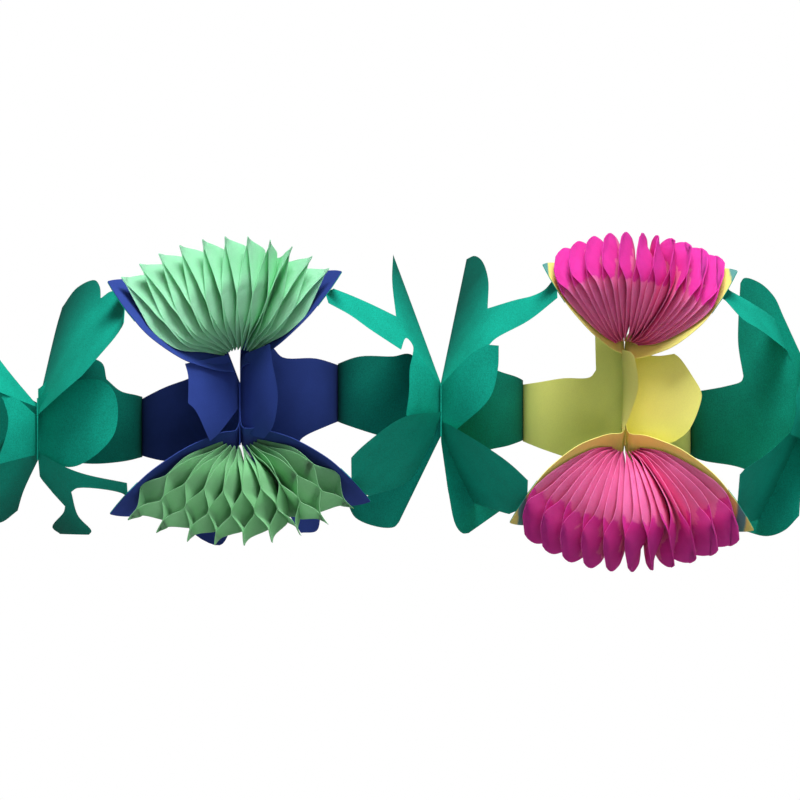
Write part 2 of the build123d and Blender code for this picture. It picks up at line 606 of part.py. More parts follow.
# The outer sheets, whose far lobes hang free
outer_left_top_shares = [
    [(0.01, 0.02), (-0.36, 0.48), (-0.70, 0.98)],
    [(-0.70, 0.98), (-0.86, 1.16), (-1.00, 1.18), (-1.08, 1.06)],
    [(-1.08, 1.06), (-0.92, 0.80), (-0.62, 0.40), (-0.38, 0.19)],
]
outer_left_bottom_shares = [
    [(0.01, -0.20), (-0.38, -0.30), (-0.75, -0.45), (-0.96, -0.62)],
    [(-0.96, -0.62), (-0.94, -0.84), (-0.78, -0.96)],
    [(-0.78, -0.96), (-0.60, -1.12), (-0.42, -1.14), (-0.25, -1.02)],
    [(-0.25, -1.02), (-0.18, -0.82), (0.01, -0.44)],
]
outer_left_tab_shares = [
    [(0.01, 0.06), (-0.40, 0.26), (-0.90, 0.26), (-1.05, 0.20)],
    [(-1.05, 0.20), (-1.05, -0.36)],
    [(-1.05, -0.36), (-0.70, -0.46), (0.01, -0.40)],
]
outer_left_petal_shares = [
    [(0.01, -0.08), (-0.20, 0.12), (-0.38, 0.20)],
    [(-0.38, 0.20), (-0.32, 0.10), (-0.27, -0.12), (-0.38, -0.54)],
    [(-0.38, -0.54), (0.01, -0.44)],
]
outer_left_petal_profile_shares = [(0, 0), (-0.10, -0.24), (-0.26, -0.44), (-0.42, -0.60)]
outer_left = standing(outer_left_share, -1, outer_left_joint_share, outer_left_tab_shares,
                      outer_left_petal_profile_shares, outer_left_petal_shares)
outer_left_top_profile_shares = [(0, 0.0), (-0.42, 0.52), (-0.80, 0.86), (-1.10, 1.06)]
outer_left.append(leaning(outer_left_share, -1, outer_left_top_profile_shares,
                          outer_left_top_shares, True))
outer_left_bottom_profile_shares = [(0, 0.18), (-0.34, 0.52), (-0.68, 0.74), (-1.0, 0.86)]
outer_left.append(leaning(outer_left_share, -1, outer_left_bottom_profile_shares,
                          outer_left_bottom_shares, False))
outer_left.append(glued_centre(outer_left_share, -1, left_centre_shares))
write("green_outer_left", outer_left)

outer_right_petal_profile_shares = [(0, 0), (0.15, -0.25), (0.36, -0.46), (0.60, -0.60)]
outer_right = standing(outer_right_share, 1, outer_right_joint_share, middle_right_tab_shares,
                       outer_right_petal_profile_shares, middle_right_petal_shares)
outer_right_top_profile_shares = [(0, 0.12), (0.38, 0.66), (0.76, 0.96), (1.18, 1.24)]
outer_right.append(leaning(outer_right_share, 1, outer_right_top_profile_shares,
                          middle_right_top_shares, True))
outer_right_bottom_profile_shares = [(0, 0.12), (0.32, 0.55), (0.62, 0.86), (0.90, 1.10)]
outer_right.append(leaning(outer_right_share, 1, outer_right_bottom_profile_shares,
                          middle_right_bottom_shares, False))
outer_right.append(glued_centre(outer_right_share, 1, right_centre_shares))
write("green_outer_right", outer_right)

# Honeycomb fans, one node to a cell of two leaves glued together
for fan_name, fan, cells, glue_shares, outline_shares in (
        ("mint_top", mint_top, mint_top_cells, mint_top_glue_shares, mint_outline_shares),
        ("mint_bottom", mint_bottom, mint_bottom_cells, mint_bottom_glue_shares, mint_outline_shares),
        ("pink_top", pink_top, pink_cells, pink_glue_shares, pink_outline_shares),
        ("pink_bottom", pink_bottom, pink_cells, pink_glue_shares, pink_outline_shares)):
    for number in range(cells):
        label = fan_name + "_cell_" + str(number + 1).zfill(2)
        write(label, [leaf(fan, 2 * number, 2 * cells, glue_shares, outline_shares),
                      leaf(fan, 2 * number + 1, 2 * cells, glue_shares, outline_shares)])
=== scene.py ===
"""Paper flower garland: smooth bent sheets, honeycomb fans, paper finishes and the stage."""

from math import cos, pi, radians, sin

import bpy
from bpy.props import FloatProperty, FloatVectorProperty, IntProperty, PointerProperty
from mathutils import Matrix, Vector, noise


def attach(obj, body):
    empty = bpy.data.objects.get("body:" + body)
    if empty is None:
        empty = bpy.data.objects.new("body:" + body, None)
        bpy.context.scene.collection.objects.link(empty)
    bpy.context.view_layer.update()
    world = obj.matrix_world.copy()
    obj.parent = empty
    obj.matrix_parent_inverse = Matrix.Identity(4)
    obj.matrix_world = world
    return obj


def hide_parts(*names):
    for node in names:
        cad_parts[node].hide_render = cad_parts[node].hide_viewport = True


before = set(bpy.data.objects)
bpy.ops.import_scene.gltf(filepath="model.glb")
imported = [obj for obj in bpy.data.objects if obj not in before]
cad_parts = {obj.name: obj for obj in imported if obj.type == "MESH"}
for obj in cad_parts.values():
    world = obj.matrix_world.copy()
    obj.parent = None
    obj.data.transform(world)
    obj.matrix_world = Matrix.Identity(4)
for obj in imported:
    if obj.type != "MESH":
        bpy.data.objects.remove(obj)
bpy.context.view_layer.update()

bl_info = {
    "name": "Paper flower garland",
    "version": (1, 0, 0),
    "blender": (4, 5, 0),
    "location": "3D View > Sidebar > Garland",
    "description": "Makes a garland of folded paper flowers with honeycomb fans",
    "category": "Add Mesh",
}


def length_property(name, description, default):
    """A length that the user may change."""
    return FloatProperty(name=name, description=description, default=default, min=0.0, unit="LENGTH",
                         subtype="DISTANCE", precision=4)


def colour_property(name, description, default):
    """A colour that the user may change."""
    return FloatVectorProperty(name=name, description=description, default=default, size=3, min=0.0,
                               max=1.0, subtype="COLOR")


class GarlandSizes(bpy.types.PropertyGroup):
    """The garland's sizes"""

    half_pitch: length_property("Half pitch", "From a pinch line to the tips glued to the next flower", 0.060)
    lobe_shoulder: length_property("Lobe shoulder", "From the axis to the widest place of a lobe", 0.060)
    lobe_depth: length_property("Lobe depth", "From a pinch line back to the glued rear tabs", 0.060)
    sheet_paper: length_property("Sheet paper", "Thickness of a flower sheet", 0.0004)
    glue_half_width: length_property("Glue half width", "Half width of the glued centre", 0.006)
    tab_glue: length_property("Tab glue", "Length of the glued end of a rear tab", 0.009)
    tip_glue: length_property("Tip glue", "Length of the glued end of a top or bottom lobe", 0.013)
    leaf_paper: length_property("Leaf paper", "Thickness of a fan's leaf", 0.0003)
    leaf_length: length_property("Leaf length", "From a fan's pivot to the tip of a leaf", 0.088)
    leaf_half_width: length_property("Leaf half width", "Half the width of a leaf", 0.026)
    rim: length_property("Rim", "How far a carrier lobe shows past its fan", 0.004)
    glue_line: length_property("Glue line", "Width of a glue line between two leaves", 0.003)
    fan_lean: FloatProperty(name="Fan lean", description="How far the fans lean towards the viewer",
                            default=radians(32.0), min=0.0, max=radians(80.0), unit="ROTATION",
                            subtype="ANGLE")
    mint_top_cells: IntProperty(name="Mint top cells", description="Cells of two leaves in the top mint fan",
                                default=11, min=2)
    mint_bottom_cells: IntProperty(name="Mint bottom cells",
                                   description="Cells of two leaves in the bottom mint fan", default=9, min=2)
    pink_cells: IntProperty(name="Pink cells", description="Cells of two leaves in a pink fan",
                            default=11, min=2)


class GarlandColours(bpy.types.PropertyGroup):
    """The papers' colours"""

    green: colour_property("Green paper", "Colour of the green sheets", (0.004, 0.350, 0.250))
    blue: colour_property("Blue paper", "Colour of the blue sheets", (0.030, 0.060, 0.290))
    yellow: colour_property("Yellow paper", "Colour of the yellow sheets", (0.970, 0.910, 0.230))
    teal: colour_property("Teal print", "Print at the tips of the yellow sheets", (0.120, 0.380, 0.350))
    mint: colour_property("Mint paper", "Colour of the top mint fan", (0.290, 0.800, 0.420))
    # The bottom mint fan is the mint paper darkened: painted shade, as that fan faces down away from the light
    mint_shaded_below: colour_property("Mint below", "Colour of the bottom mint fan", (0.180, 0.480, 0.210))
    pink: colour_property("Pink paper", "Colour of a pink fan between its centre and its rim",
                          (0.920, 0.160, 0.400))
    pink_rim: colour_property("Pink rim", "Colour along the rim of a pink fan", (0.740, 0.032, 0.320))
    pink_centre: colour_property("Pink centre", "Colour at the centre of a pink fan",
                                 (0.860, 0.100, 0.310))


# Pinch lines along the garland, as shares of half_pitch
outer_left_share = 0.0
blue_share = 2.02
middle_share = 4.03
yellow_share = 5.87
outer_right_share = 7.65

# A rear tab seen from above, between its glued ends
tab_profile_shares = [(0.10, 0.22), (0.30, 0.38), (0.60, 0.55), (0.85, 0.72), (0.96, 0.86)]

# A carrier lobe: shares of its length and of its half width, from its root to its tip
carrier_root_shares = [(-0.15, 0.36)]
carrier_outline_shares = [(0.02, 0.42), (0.22, 0.72), (0.45, 1.0), (0.66, 0.95), (0.83, 0.62), (0.94, 0.27),
                          (1.0, 0.02)]

# The root bend of a carrier lobe, and how many glue lengths long a glued tip is
root_share = 0.13
root_bend_shares = [(0.35, 0.45)]
tip_length_share = 1.6

# How many papers a glued tip stands off the fan, and how thick the glued centre is between its lobes
tip_gap_papers = 1.5
centre_paper_share = 0.8

# The print of a top carrier stands farther out on it than that of a bottom one
top_print_share = 0.93

# The wedge between the two blue top lobes: what is left of it belongs to the left one
wedge_shares = [[(-4.0, -1.0), (0.01, -1.0)], [(0.01, 0.24)], [(-0.19, 0.75)], [(-0.19, 4.0)], [(-4.0, 4.0)],
    [(-4.0, -1.0)]]

# The die-cut sheets, left to right. An outline in the front view is a list of smooth edges, each going on
# from the last point of the one before, with a sharp corner between them. Points are shares of half_pitch
# along from the sheet's own pinch line, and of lobe_shoulder up from the garland's axis. Profiles run across
# and back for tabs and petals, and across and up the lean for top and bottom lobes. A joint is where a lobe
# is glued, as it is drawn, and centre is the foot and the head of the glued centre.
SHEETS = {
    "green_outer_left": {
        "pinch": outer_left_share, "facing": -1, "joint": -1.0, "centre": (-0.5, 0.12),
        "tab": [[(0.01, 0.06), (-0.4, 0.26), (-0.9, 0.26), (-1.05, 0.2)], [(-1.05, -0.36)],
            [(-0.7, -0.46), (0.01, -0.4)]],
        "petal": [[(0.01, -0.08), (-0.2, 0.12), (-0.38, 0.2)], [(-0.32, 0.1), (-0.27, -0.12), (-0.38, -0.54)],
            [(0.01, -0.44)]],
        "petal_profile": [(0, 0), (-0.1, -0.24), (-0.26, -0.44), (-0.42, -0.6)],
        "top": [[(0.01, 0.02), (-0.36, 0.48), (-0.7, 0.98)], [(-0.86, 1.16), (-1.0, 1.18), (-1.08, 1.06)],
            [(-0.92, 0.8), (-0.62, 0.4), (-0.38, 0.19)]],
        "top_profile": [(0, 0), (-0.42, 0.52), (-0.8, 0.86), (-1.1, 1.06)],
        "bottom": [[(0.01, -0.2), (-0.38, -0.3), (-0.75, -0.45), (-0.96, -0.62)],
            [(-0.94, -0.84), (-0.78, -0.96)], [(-0.6, -1.12), (-0.42, -1.14), (-0.25, -1.02)],
            [(-0.18, -0.82), (0.01, -0.44)]],
        "bottom_profile": [(0, 0.18), (-0.34, 0.52), (-0.68, 0.74), (-1.0, 0.86)],
    },
    "green_left": {
        "pinch": outer_left_share, "facing": 1, "joint": 1.0, "centre": (-0.5, 0.12),
        "top_fan": "mint_top", "top_joint": (0.892, 1.219),
        "bottom_fan": "mint_bottom", "bottom_joint": (0.916, 1.006),
        "tab": [[(-0.01, 0.2), (0.35, 0.52), (0.61, 0.48), (0.66, 0.31)],
            [(0.8, 0.19), (0.95, 0.15), (1.04, 0.12)], [(1.04, -0.47)],
            [(0.83, -0.52), (0.45, -0.54), (-0.01, -0.44)]],
        "petal": [[(-0.01, 0.12), (0.3, 0.26), (0.56, 0.31), (0.7, 0.27), (0.79, 0.16), (0.82, -0.05),
             (0.77, -0.26), (0.55, -0.48), (0.32, -0.57), (-0.01, -0.44)]],
        "petal_profile": [(0, 0), (0.25, -0.26), (0.55, -0.42), (0.84, -0.5)],
        "top": [[(0, -0.05), (0, 0.08)], [(0.14, 0.84), (0.19, 1.04)],
            [(0.35, 1.24), (0.54, 1.31), (0.6, 1.24), (0.62, 1.12)],
            [(0.74, 1.19), (0.88, 1.1), (0.92, 0.94), (0.84, 0.77), (0.61, 0.49)], [(0.48, 0.34)]],
        "top_profile": [(0, 0), (0.3, 0.52), (0.65, 0.9), (0.86, 1.1)],
        "bottom": [[(0, -0.42), (0.32, -0.58), (0.54, -0.65), (0.98, -0.73)], [(1.02, -0.78), (0.92, -0.86)],
            [(0.84, -0.82), (0.4, -0.78), (0.33, -0.82)], [(0.38, -1.06), (0.51, -1.22), (0.48, -1.26)],
            [(0.17, -1.26)], [(0.09, -1.19), (0.23, -1.03), (0.25, -0.97)],
            [(0.1, -0.8), (-0.01, -0.64), (0, -0.5)]],
        "bottom_profile": [(0, 0.4), (0.35, 0.68), (0.75, 0.86)],
    },
    "blue_left": {
        "pinch": blue_share, "facing": -1, "joint": -1.02, "centre": (-0.35, 0.26),
        "fans": "mint", "top_root": wedge_shares,
        "tab": [[(0.01, 0.24), (-0.19, 0.75)],
            [(-0.4, 1.15), (-0.66, 1.46), (-0.78, 1.46), (-0.84, 1.38), (-0.7, 1.05), (-0.42, 0.72)],
            [(-0.3, 0.45), (-0.5, 0.33), (-0.77, 0.23), (-1.08, 0.08)], [(-1.08, -0.45)],
            [(-0.82, -0.51), (-0.55, -0.54), (-0.3, -0.62)],
            [(-0.55, -1.15), (-0.21, -1.36), (-0.09, -1.14), (-0.08, -0.6), (0.01, -0.3)]],
        "petal": [[(0.01, 0.24), (-0.12, 0.55)], [(-0.35, 0.5), (-0.53, 0.46)], [(-0.5, 0.34), (-0.5, 0.07)],
            [(-0.43, 0), (-0.29, -0.31)], [(-0.22, -0.25), (0.01, 0.05)]],
        "petal_profile": [(0, 0), (-0.15, -0.25), (-0.34, -0.48), (-0.56, -0.66)],
    },
    "blue_right": {
        "pinch": blue_share, "facing": 1, "joint": 0.97, "centre": (-0.35, 0.26),
        "fans": "mint",
        "tab": [[(-0.01, 0.24), (0.04, 1.5)], [(0.08, 1.63), (0.16, 1.66), (0.21, 1.56)], [(0.33, 0.62)],
            [(0.42, 0.53), (0.75, 0.52), (1.02, 0.44)], [(1.02, -0.1)],
            [(0.87, -0.16), (0.62, -0.28), (0.56, -0.36)], [(0.8, -1.03)], [(0.76, -1.22), (0.6, -1.24)],
            [(-0.01, -0.3)]],
        "petal": [[(-0.01, 0.24), (0.05, 0.56)], [(0.31, 0.66)],
            [(0.33, 0.5), (0.39, 0.14), (0.34, -0.16), (0.25, -0.28)], [(0.12, -0.25), (-0.01, -0.08)]],
        "petal_profile": [(0, 0), (0.12, -0.25), (0.26, -0.48), (0.41, -0.66)],
    },
    "green_middle_left": {
        "pinch": middle_share, "facing": -1, "joint": -1.04, "centre": (-0.26, 0.26),
        "top_fan": "mint_top", "top_joint": (-1.135, 1.306),
        "bottom_fan": "mint_bottom", "bottom_joint": (-0.888, 0.876),
        "tab": [[(0.01, 0.2), (-0.3, 0.56), (-0.48, 0.54), (-0.82, 0.54), (-1.09, 0.45)], [(-1.09, -0.1)],
            [(-0.99, -0.14), (-0.65, -0.25), (-0.3, -0.34)], [(-0.62, -0.8), (-0.94, -0.95)],
            [(-0.86, -1.09), (-0.63, -1.18), (-0.47, -1.18), (-0.42, -1.13)], [(0.01, -0.24)]],
        "petal": [[(0.01, 0.24), (-0.26, 0.61)], [(-0.31, 0.44), (-0.32, 0.18), (-0.35, -0.05)],
            [(-0.18, -0.14), (0.01, -0.1)]],
        "petal_profile": [(0, 0), (-0.1, -0.24), (-0.24, -0.45), (-0.4, -0.62)],
        "top": [[(0.01, 0.24), (-0.48, 1.58)], [(-0.49, 1.31), (-0.45, 0.94)],
            [(-0.7, 1.06), (-0.91, 1.15), (-1.07, 1.21)], [(-1.14, 1.16), (-1.12, 1.06)],
            [(-0.9, 0.94), (-0.72, 0.81), (-0.4, 0.6)],
            [(-0.35, 0.72), (-0.28, 0.64), (-0.28, 0.48), (0.01, 0.18)]],
        "top_profile": [(0, 0.12), (-0.38, 0.66), (-0.75, 0.95), (-1.04, 1.16)],
        "bottom": [[(0.01, -0.02), (-0.35, -0.06), (-0.65, -0.25), (-0.9, -0.48), (-0.98, -0.62)],
            [(-0.9, -0.76), (-0.72, -0.86)], [(-0.33, -0.72), (-0.08, -0.3)]],
        "bottom_profile": [(0, 0.1), (-0.32, 0.46), (-0.66, 0.7)],
    },
    "green_middle_right": {
        "pinch": middle_share, "facing": 1, "joint": 0.84, "centre": (-0.26, 0.26),
        "top_fan": "pink_top", "top_joint": (1.142, 1.338),
        "bottom_fan": "pink_bottom", "bottom_joint": (0.847, 1.074),
        "tab": [[(-0.01, 0.2), (0.4, 0.5), (0.57, 0.4), (0.78, 0.33), (0.89, 0.27)], [(0.89, -0.29)],
            [(0.69, -0.36), (0.45, -0.42), (0.3, -0.55)], [(0.5, -0.85), (0.6, -1.02)], [(0.28, -1.24)],
            [(0.22, -1.24), (0.15, -1.16), (0.07, -0.8)], [(-0.01, -0.24)]],
        "petal": [[(-0.01, 0.24), (0.3, 0.56), (0.46, 0.65)], [(0.57, 0.64)],
            [(0.56, 0.4), (0.48, 0.12), (0.16, -0.19)], [(-0.01, -0.1)]],
        "petal_profile": [(0, 0), (0.15, -0.25), (0.36, -0.46), (0.6, -0.6)],
        "top": [[(-0.01, 0.23), (0.27, 1.54)], [(0.35, 1.57), (0.42, 1.52), (0.48, 1.33), (0.47, 1.02)],
            [(0.74, 1.1), (0.91, 1.14), (1.03, 1.2), (1.1, 1.28)], [(1.18, 1.24), (1.16, 1.12)],
            [(0.87, 0.89), (0.54, 0.71), (0.46, 0.63), (-0.01, 0.18)]],
        "top_profile": [(0, 0.12), (0.38, 0.66), (0.76, 0.96), (1.05, 1.2)],
        "bottom": [[(-0.01, -0.1), (0.16, -0.19), (0.5, -0.4), (0.69, -0.54), (0.88, -0.72)],
            [(0.92, -0.82), (0.86, -0.94), (0.68, -1.04)], [(0.6, -1.02), (0.3, -0.92), (0.07, -0.78)],
            [(-0.01, -0.22)]],
        "bottom_profile": [(0, 0.12), (0.32, 0.55), (0.62, 0.86)],
    },
    "yellow_left": {
        "pinch": yellow_share, "facing": -1, "joint": -1.0, "centre": (-0.35, 0.55),
        "fans": "pink",
        "tab": [[(0.01, 0.52), (-0.05, 0.74), (-0.29, 0.8)], [(-0.28, 0.4)],
            [(-0.34, 0.33), (-0.6, 0.32), (-0.85, 0.28), (-1.05, 0.25)], [(-1.05, -0.3)],
            [(-0.83, -0.39), (-0.6, -0.47), (-0.3, -0.58)], [(0.01, -0.35)]],
        "petal": [[(-0.04, 0.6), (0.05, 0.56), (0.1, 0.36)], [(0.1, 0.2), (0.03, -0.05), (-0.04, -0.22)]],
        "petal_profile": [(0, 0), (-0.02, -0.2), (0.04, -0.5), (0.12, -0.8)],
    },
    "yellow_right": {
        "pinch": yellow_share, "facing": 1, "joint": 0.7, "centre": (-0.35, 0.55),
        "fans": "pink",
        "tab": [[(-0.01, 0.45), (0.3, 0.4), (0.55, 0.2), (0.75, 0.12)], [(0.75, -0.44)],
            [(0.58, -0.46), (0.36, -0.44), (-0.01, -0.35)]],
        "petal": [[(-0.01, 0.58), (0.32, 0.54), (0.48, 0.56)],
            [(0.53, 0.52), (0.64, 0.36), (0.74, 0.18), (0.74, 0.1), (0.62, -0.2), (0.49, -0.31)],
            [(0.3, -0.36), (-0.01, -0.34)]],
        "petal_profile": [(0, 0), (0.22, -0.22), (0.5, -0.4), (0.78, -0.52)],
    },
    "green_right": {
        "pinch": outer_right_share, "facing": -1, "joint": -1.08, "centre": (-0.35, 0.36),
        "top_fan": "pink_top", "top_joint": (-0.846, 1.29),
        "bottom_fan": "pink_bottom", "bottom_joint": (-0.686, 1.159),
        "tab": [[(0.01, 0.5), (-0.18, 0.94), (-0.27, 1.14), (-0.41, 1.28), (-0.56, 1.33), (-0.6, 1.28)],
            [(-0.62, 0.9), (-0.62, 0.65), (-0.57, 0.34)], [(-0.59, 0.29), (-0.74, 0.24), (-1.13, 0.17)],
            [(-1.13, -0.44)], [(-0.98, -0.51), (-0.64, -0.57), (-0.4, -0.66)], [(-0.56, -1.22)],
            [(-0.34, -1.27), (-0.17, -1.21), (-0.03, -1.06)], [(0.01, -0.4)]],
        "petal": [[(0.01, 0.34), (-0.05, 0.26), (-0.1, 0.15), (-0.1, 0), (-0.16, -0.24)], [(0.01, -0.3)]],
        "petal_profile": [(0, 0), (-0.02, -0.24), (-0.08, -0.48), (-0.2, -0.72)],
        "top": [[(0.01, 0.5), (-0.18, 0.85), (-0.31, 0.95), (-0.52, 1.07), (-0.75, 1.19)],
            [(-0.86, 1.3), (-0.87, 1.14), (-0.8, 1.08)], [(-0.63, 0.9), (-0.45, 0.8), (-0.15, 0.6)],
            [(0.01, 0.2)]],
        "top_profile": [(0, 0.1), (-0.28, 0.62), (-0.58, 1.02)],
        "bottom": [[(0.01, -0.05), (-0.16, -0.24), (-0.4, -0.44), (-0.64, -0.58)],
            [(-0.76, -0.72), (-0.72, -0.9), (-0.54, -1.12)], [(-0.3, -1.08), (-0.12, -1.02), (0.01, -0.6)]],
        "bottom_profile": [(0, 0.1), (-0.28, 0.52), (-0.52, 0.86)],
    },
}
# The right-hand outer sheet is cut as the middle one, and its top and bottom lobes hang free
SHEETS["green_outer_right"] = dict(
    SHEETS["green_middle_right"], pinch=outer_right_share, joint=0.9, centre=(-0.35, 0.36),
    petal_profile=[(0, 0), (0.15, -0.25), (0.36, -0.46), (0.6, -0.6)],
    top_profile=[(0, 0.12), (0.38, 0.66), (0.76, 0.96), (1.18, 1.24)],
    bottom_profile=[(0, 0.12), (0.32, 0.55), (0.62, 0.86), (0.9, 1.1)],
    top_fan="", bottom_fan="")

# Each fan: pinch and pivot height as shares, its left and right angle from upright, its leaf lengths
# at the left, in the middle and at the right as shares of leaf_length, which way it stands, and how
# wide its front half is at the left and at the right
FANS = {
    "mint_top": (blue_share, 0.45, (-53.0, 43.0), (1.06, 1.02, 0.97), 1, (1.12, 0.6)),
    "mint_bottom": (blue_share, -0.22, (-53.0, 58.0), (1.04, 0.90, 1.00), -1, (0.68, 0.85)),
    "pink_top": (yellow_share, 0.58, (-39.0, 49.0), (0.85, 0.86, 0.94), 1, (0.65, 1.08)),
    "pink_bottom": (yellow_share, -0.30, (-50.0, 50.0), (0.98, 0.96, 1.07), -1, (1.12, 1.1)),
}

# The leaves of each fan: glue lines as shares of the length, outline as shares of the length and of the half
# width, how far loose tips curl, how wide the back half stays at the tip, and how far a cell opens behind its
# first glue line. The bottom mint leaves end in narrow fingers.
pink_leaf = {
    "glue": [0.15, 0.74, 0.97],
    "outline": [(0.12, 0.15), (0.36, 0.76), (0.68, 1.0), (0.90, 0.90), (0.97, 0.62), (1.0, 0.32)],
    "curl": 0.3, "back": 1.0, "opening": 0.25, "fingers": False,
}
LEAVES = {
    "mint_top": {
        "glue": [0.15, 0.66, 0.97],
        "outline": [(0.12, 0.06), (0.28, 0.45), (0.52, 1.0), (0.70, 0.84), (0.80, 0.54), (0.90, 0.26),
                    (1.0, 0.02)],
        "curl": 0.3, "back": 1.0, "opening": 1.0, "fingers": False,
    },
    "mint_bottom": {
        "glue": [0.16, 0.64, 0.80, 0.95],
        "outline": [(0.12, 0.06), (0.28, 0.45), (0.52, 1.0), (0.66, 0.92), (0.80, 0.58), (0.90, 0.28),
                    (1.0, 0.03)],
        "curl": 0.8, "back": 0.35, "opening": 1.0, "fingers": True,
    },
    "pink_top": pink_leaf,
    "pink_bottom": pink_leaf,
}

# A leaf's back edge stands turned aside, to the one side left of turn_place and to the other right of it,
# where places run from -1 at the left of a fan to 1. Around turn_place the leaf is bowed instead. Widths are
# in places, heights in rims and depths in shares of leaf_half_width.
turn_rims = 1.6
turn_place = 0.3
turn_width = 0.25
turn_depth_share = 0.6
bow_rims = 2.2
bow_width = 0.45
bow_depths = 2.4

# Turn and bow are full from full_share of a leaf's length and fade out past tip_share, and a finger's back
# half narrows from finger_share
full_share = 0.5
tip_share = 0.66
finger_share = 0.4

# How round the sway of a leaf is, how far its loose tip leans with the curl, and how its curl differs from
# the next one's
sway_round_share = 0.4
curl_lean_share = 0.4
lilt_step = 1.7
lilt_spread = 40

# Rows and columns of the grids that the papers are bent from, and how their rows crowd towards the tip
tab_grid = (28, 14)
leaning_grid = (28, 28)
centre_grid = (4, 12)
tip_grid = (30, 14)
carrier_grid = (40, 14)
leaf_grid = (44, 10)
tip_crowding = 1.4
carrier_crowding = 1.3
leaf_crowding = 1.25

# Steps between two points of an outline and of a profile, the angle above which an edge stays sharp, and how
# many times lobe_depth a die is deep
outline_steps = 6
profile_steps = 12
sharp_angle = 40.0
die_depths = 6

# Each paper: how fine its clouds are, how deep they are, how deep its grain is and how much light passes
PAPERS = {
    "green": (45.0, 0.10, 0.22, 0.0),
    "blue": (50.0, 0.08, 0.05, 0.0),
    "yellow": (30.0, 0.05, 0.03, 0.3),
    "mint": (60.0, 0.05, 0.03, 0.8),
    "pink": (70.0, 0.08, 0.04, 0.8),
    "cut_edge": (60.0, 0.06, 0.05, 0.0),
}
cloud_detail = 3.0
grain_scale = 1400.0
grain_detail = 2.0
noise_low = 0.3
noise_high = 0.7

# The papers' surface: how rough it is, how much it shines, how far light spreads in it, in metres, and how
# strong and how high its tooth is
paper_roughness = 0.82
paper_shine = 0.12
light_spread = 0.002
tooth_strength = 0.12
tooth_height = 0.0002

# A cut edge is nearer to a pale tone than its paper. Green and blue papers carry painted shade: they go darker
# towards the back, down to a share of their colour as far back as the depth given last below, in metres.
pale_tone = 0.9
pale_share = 0.35
green_back_shade_share = 0.32
blue_back_shade_share = 0.5
back_shade_depth = 0.055

# Where prints change along a leaf or a lobe, as shares of its length, and how far their borders waver. The
# teal and pink bands are print; the mint bands are painted shade, darker towards a fan's pivot where the
# leaves crowd.
teal_bands = (0.0, 0.900, 0.915, 0.965, 0.980)
teal_waver = 0.05
# Mint leaves go down to a share of their colour towards the pivot: painted shade, not print
mint_shade_bands = (0.0, 0.45, 1.0)
mint_centre_shade_share = 0.80
mint_shade_waver = 0.1
pink_bands = (0.0, 0.36, 0.60, 0.955, 0.975, 1.0)
pink_waver = 0.24
waver_scale = 70.0
waver_detail = 4.0

# The picture: its width and the places of its middle, the first pinch line and the garland's axis, in parts
# of which half_pitch is parts_per_half_pitch
picture_width = 800
picture_middle = 400
pinch_line = 38
axis_line = 410
parts_per_half_pitch = 100

# Each lamp: place along the garland from its middle, back and up, width, and power in watts
LAMPS = {
    "lamp_key": (0.25, -1.05, 2.1, 1.1, 78.0),
    "lamp_fill": (0.3, -2.5, 1.0, 1.6, 9.0),
    "lamp_low": (0.2, -1.6, -0.4, 0.5, 4.0),
}
room_light = 0.16

# The stage: size of the grounds, how far the floor is below the garland, the backdrop behind it and the
# camera before it
ground_size = 14.0
floor_drop = 0.62
backdrop_away = 5.0
camera_away = 4.0
sensor_width = 36.0
view_end = 50.0

# How pale the grounds are to the light, and how white and how bright the camera sees the floor
floor_shade = 0.30
backdrop_shade = 0.60
floor_white = 0.92
floor_glow = 0.5


def sizes():
    return bpy.context.scene.garland_sizes


def between(low, high, share):
    return low + (high - low) * share


def crowded(share, crowding):
    """A share from 0 to 1, with its steps closer together near 1."""
    return 1 - (1 - share) ** crowding


def smooth_line(points, steps):
    """Points of a smooth line that runs through the given points."""
    points = [Vector(point) for point in points]
    if len(points) < 3:
        return points
    ends = [2 * points[0] - points[1]] + points + [2 * points[-1] - points[-2]]
    line = []
    for index in range(len(points) - 1):
        before, start, end, after = ends[index:index + 4]
        knots = [0.0]
        for a, b in ((before, start), (start, end), (end, after)):
            knots.append(knots[-1] + max((b - a).length, 1e-9) ** 0.5)
        for step in range(steps):
            t = between(knots[1], knots[2], step / steps)
            level = [before, start, end, after]
            for spans in (((0, 1), (1, 2), (2, 3)), ((0, 2), (1, 3)), ((1, 2),)):
                level = [(a * (knots[high] - t) + b * (t - knots[low])) / (knots[high] - knots[low])
                         for a, b, (low, high) in zip(level, level[1:], spans)]
            line.append(level[0])
    line.append(points[-1])
    return line


class Profile:
    """A smooth profile that is read by its share of length."""

    def __init__(self, runs):
        self.points = []
        for run in runs:
            line = smooth_line(run, profile_steps)
            self.points += line if not self.points else line[1:]
        self.reached = [0.0]
        for before, after in zip(self.points, self.points[1:]):
            self.reached.append(self.reached[-1] + (after - before).length)

    def at(self, share):
        """The point at a share of the length, and the direction there."""
        wanted = share * self.reached[-1]
        index = 0
        while index < len(self.points) - 2 and self.reached[index + 1] < wanted:
            index += 1
        before, after = self.points[index], self.points[index + 1]
        step = self.reached[index + 1] - self.reached[index]
        return before.lerp(after, (wanted - self.reached[index]) / step), (after - before).normalized()


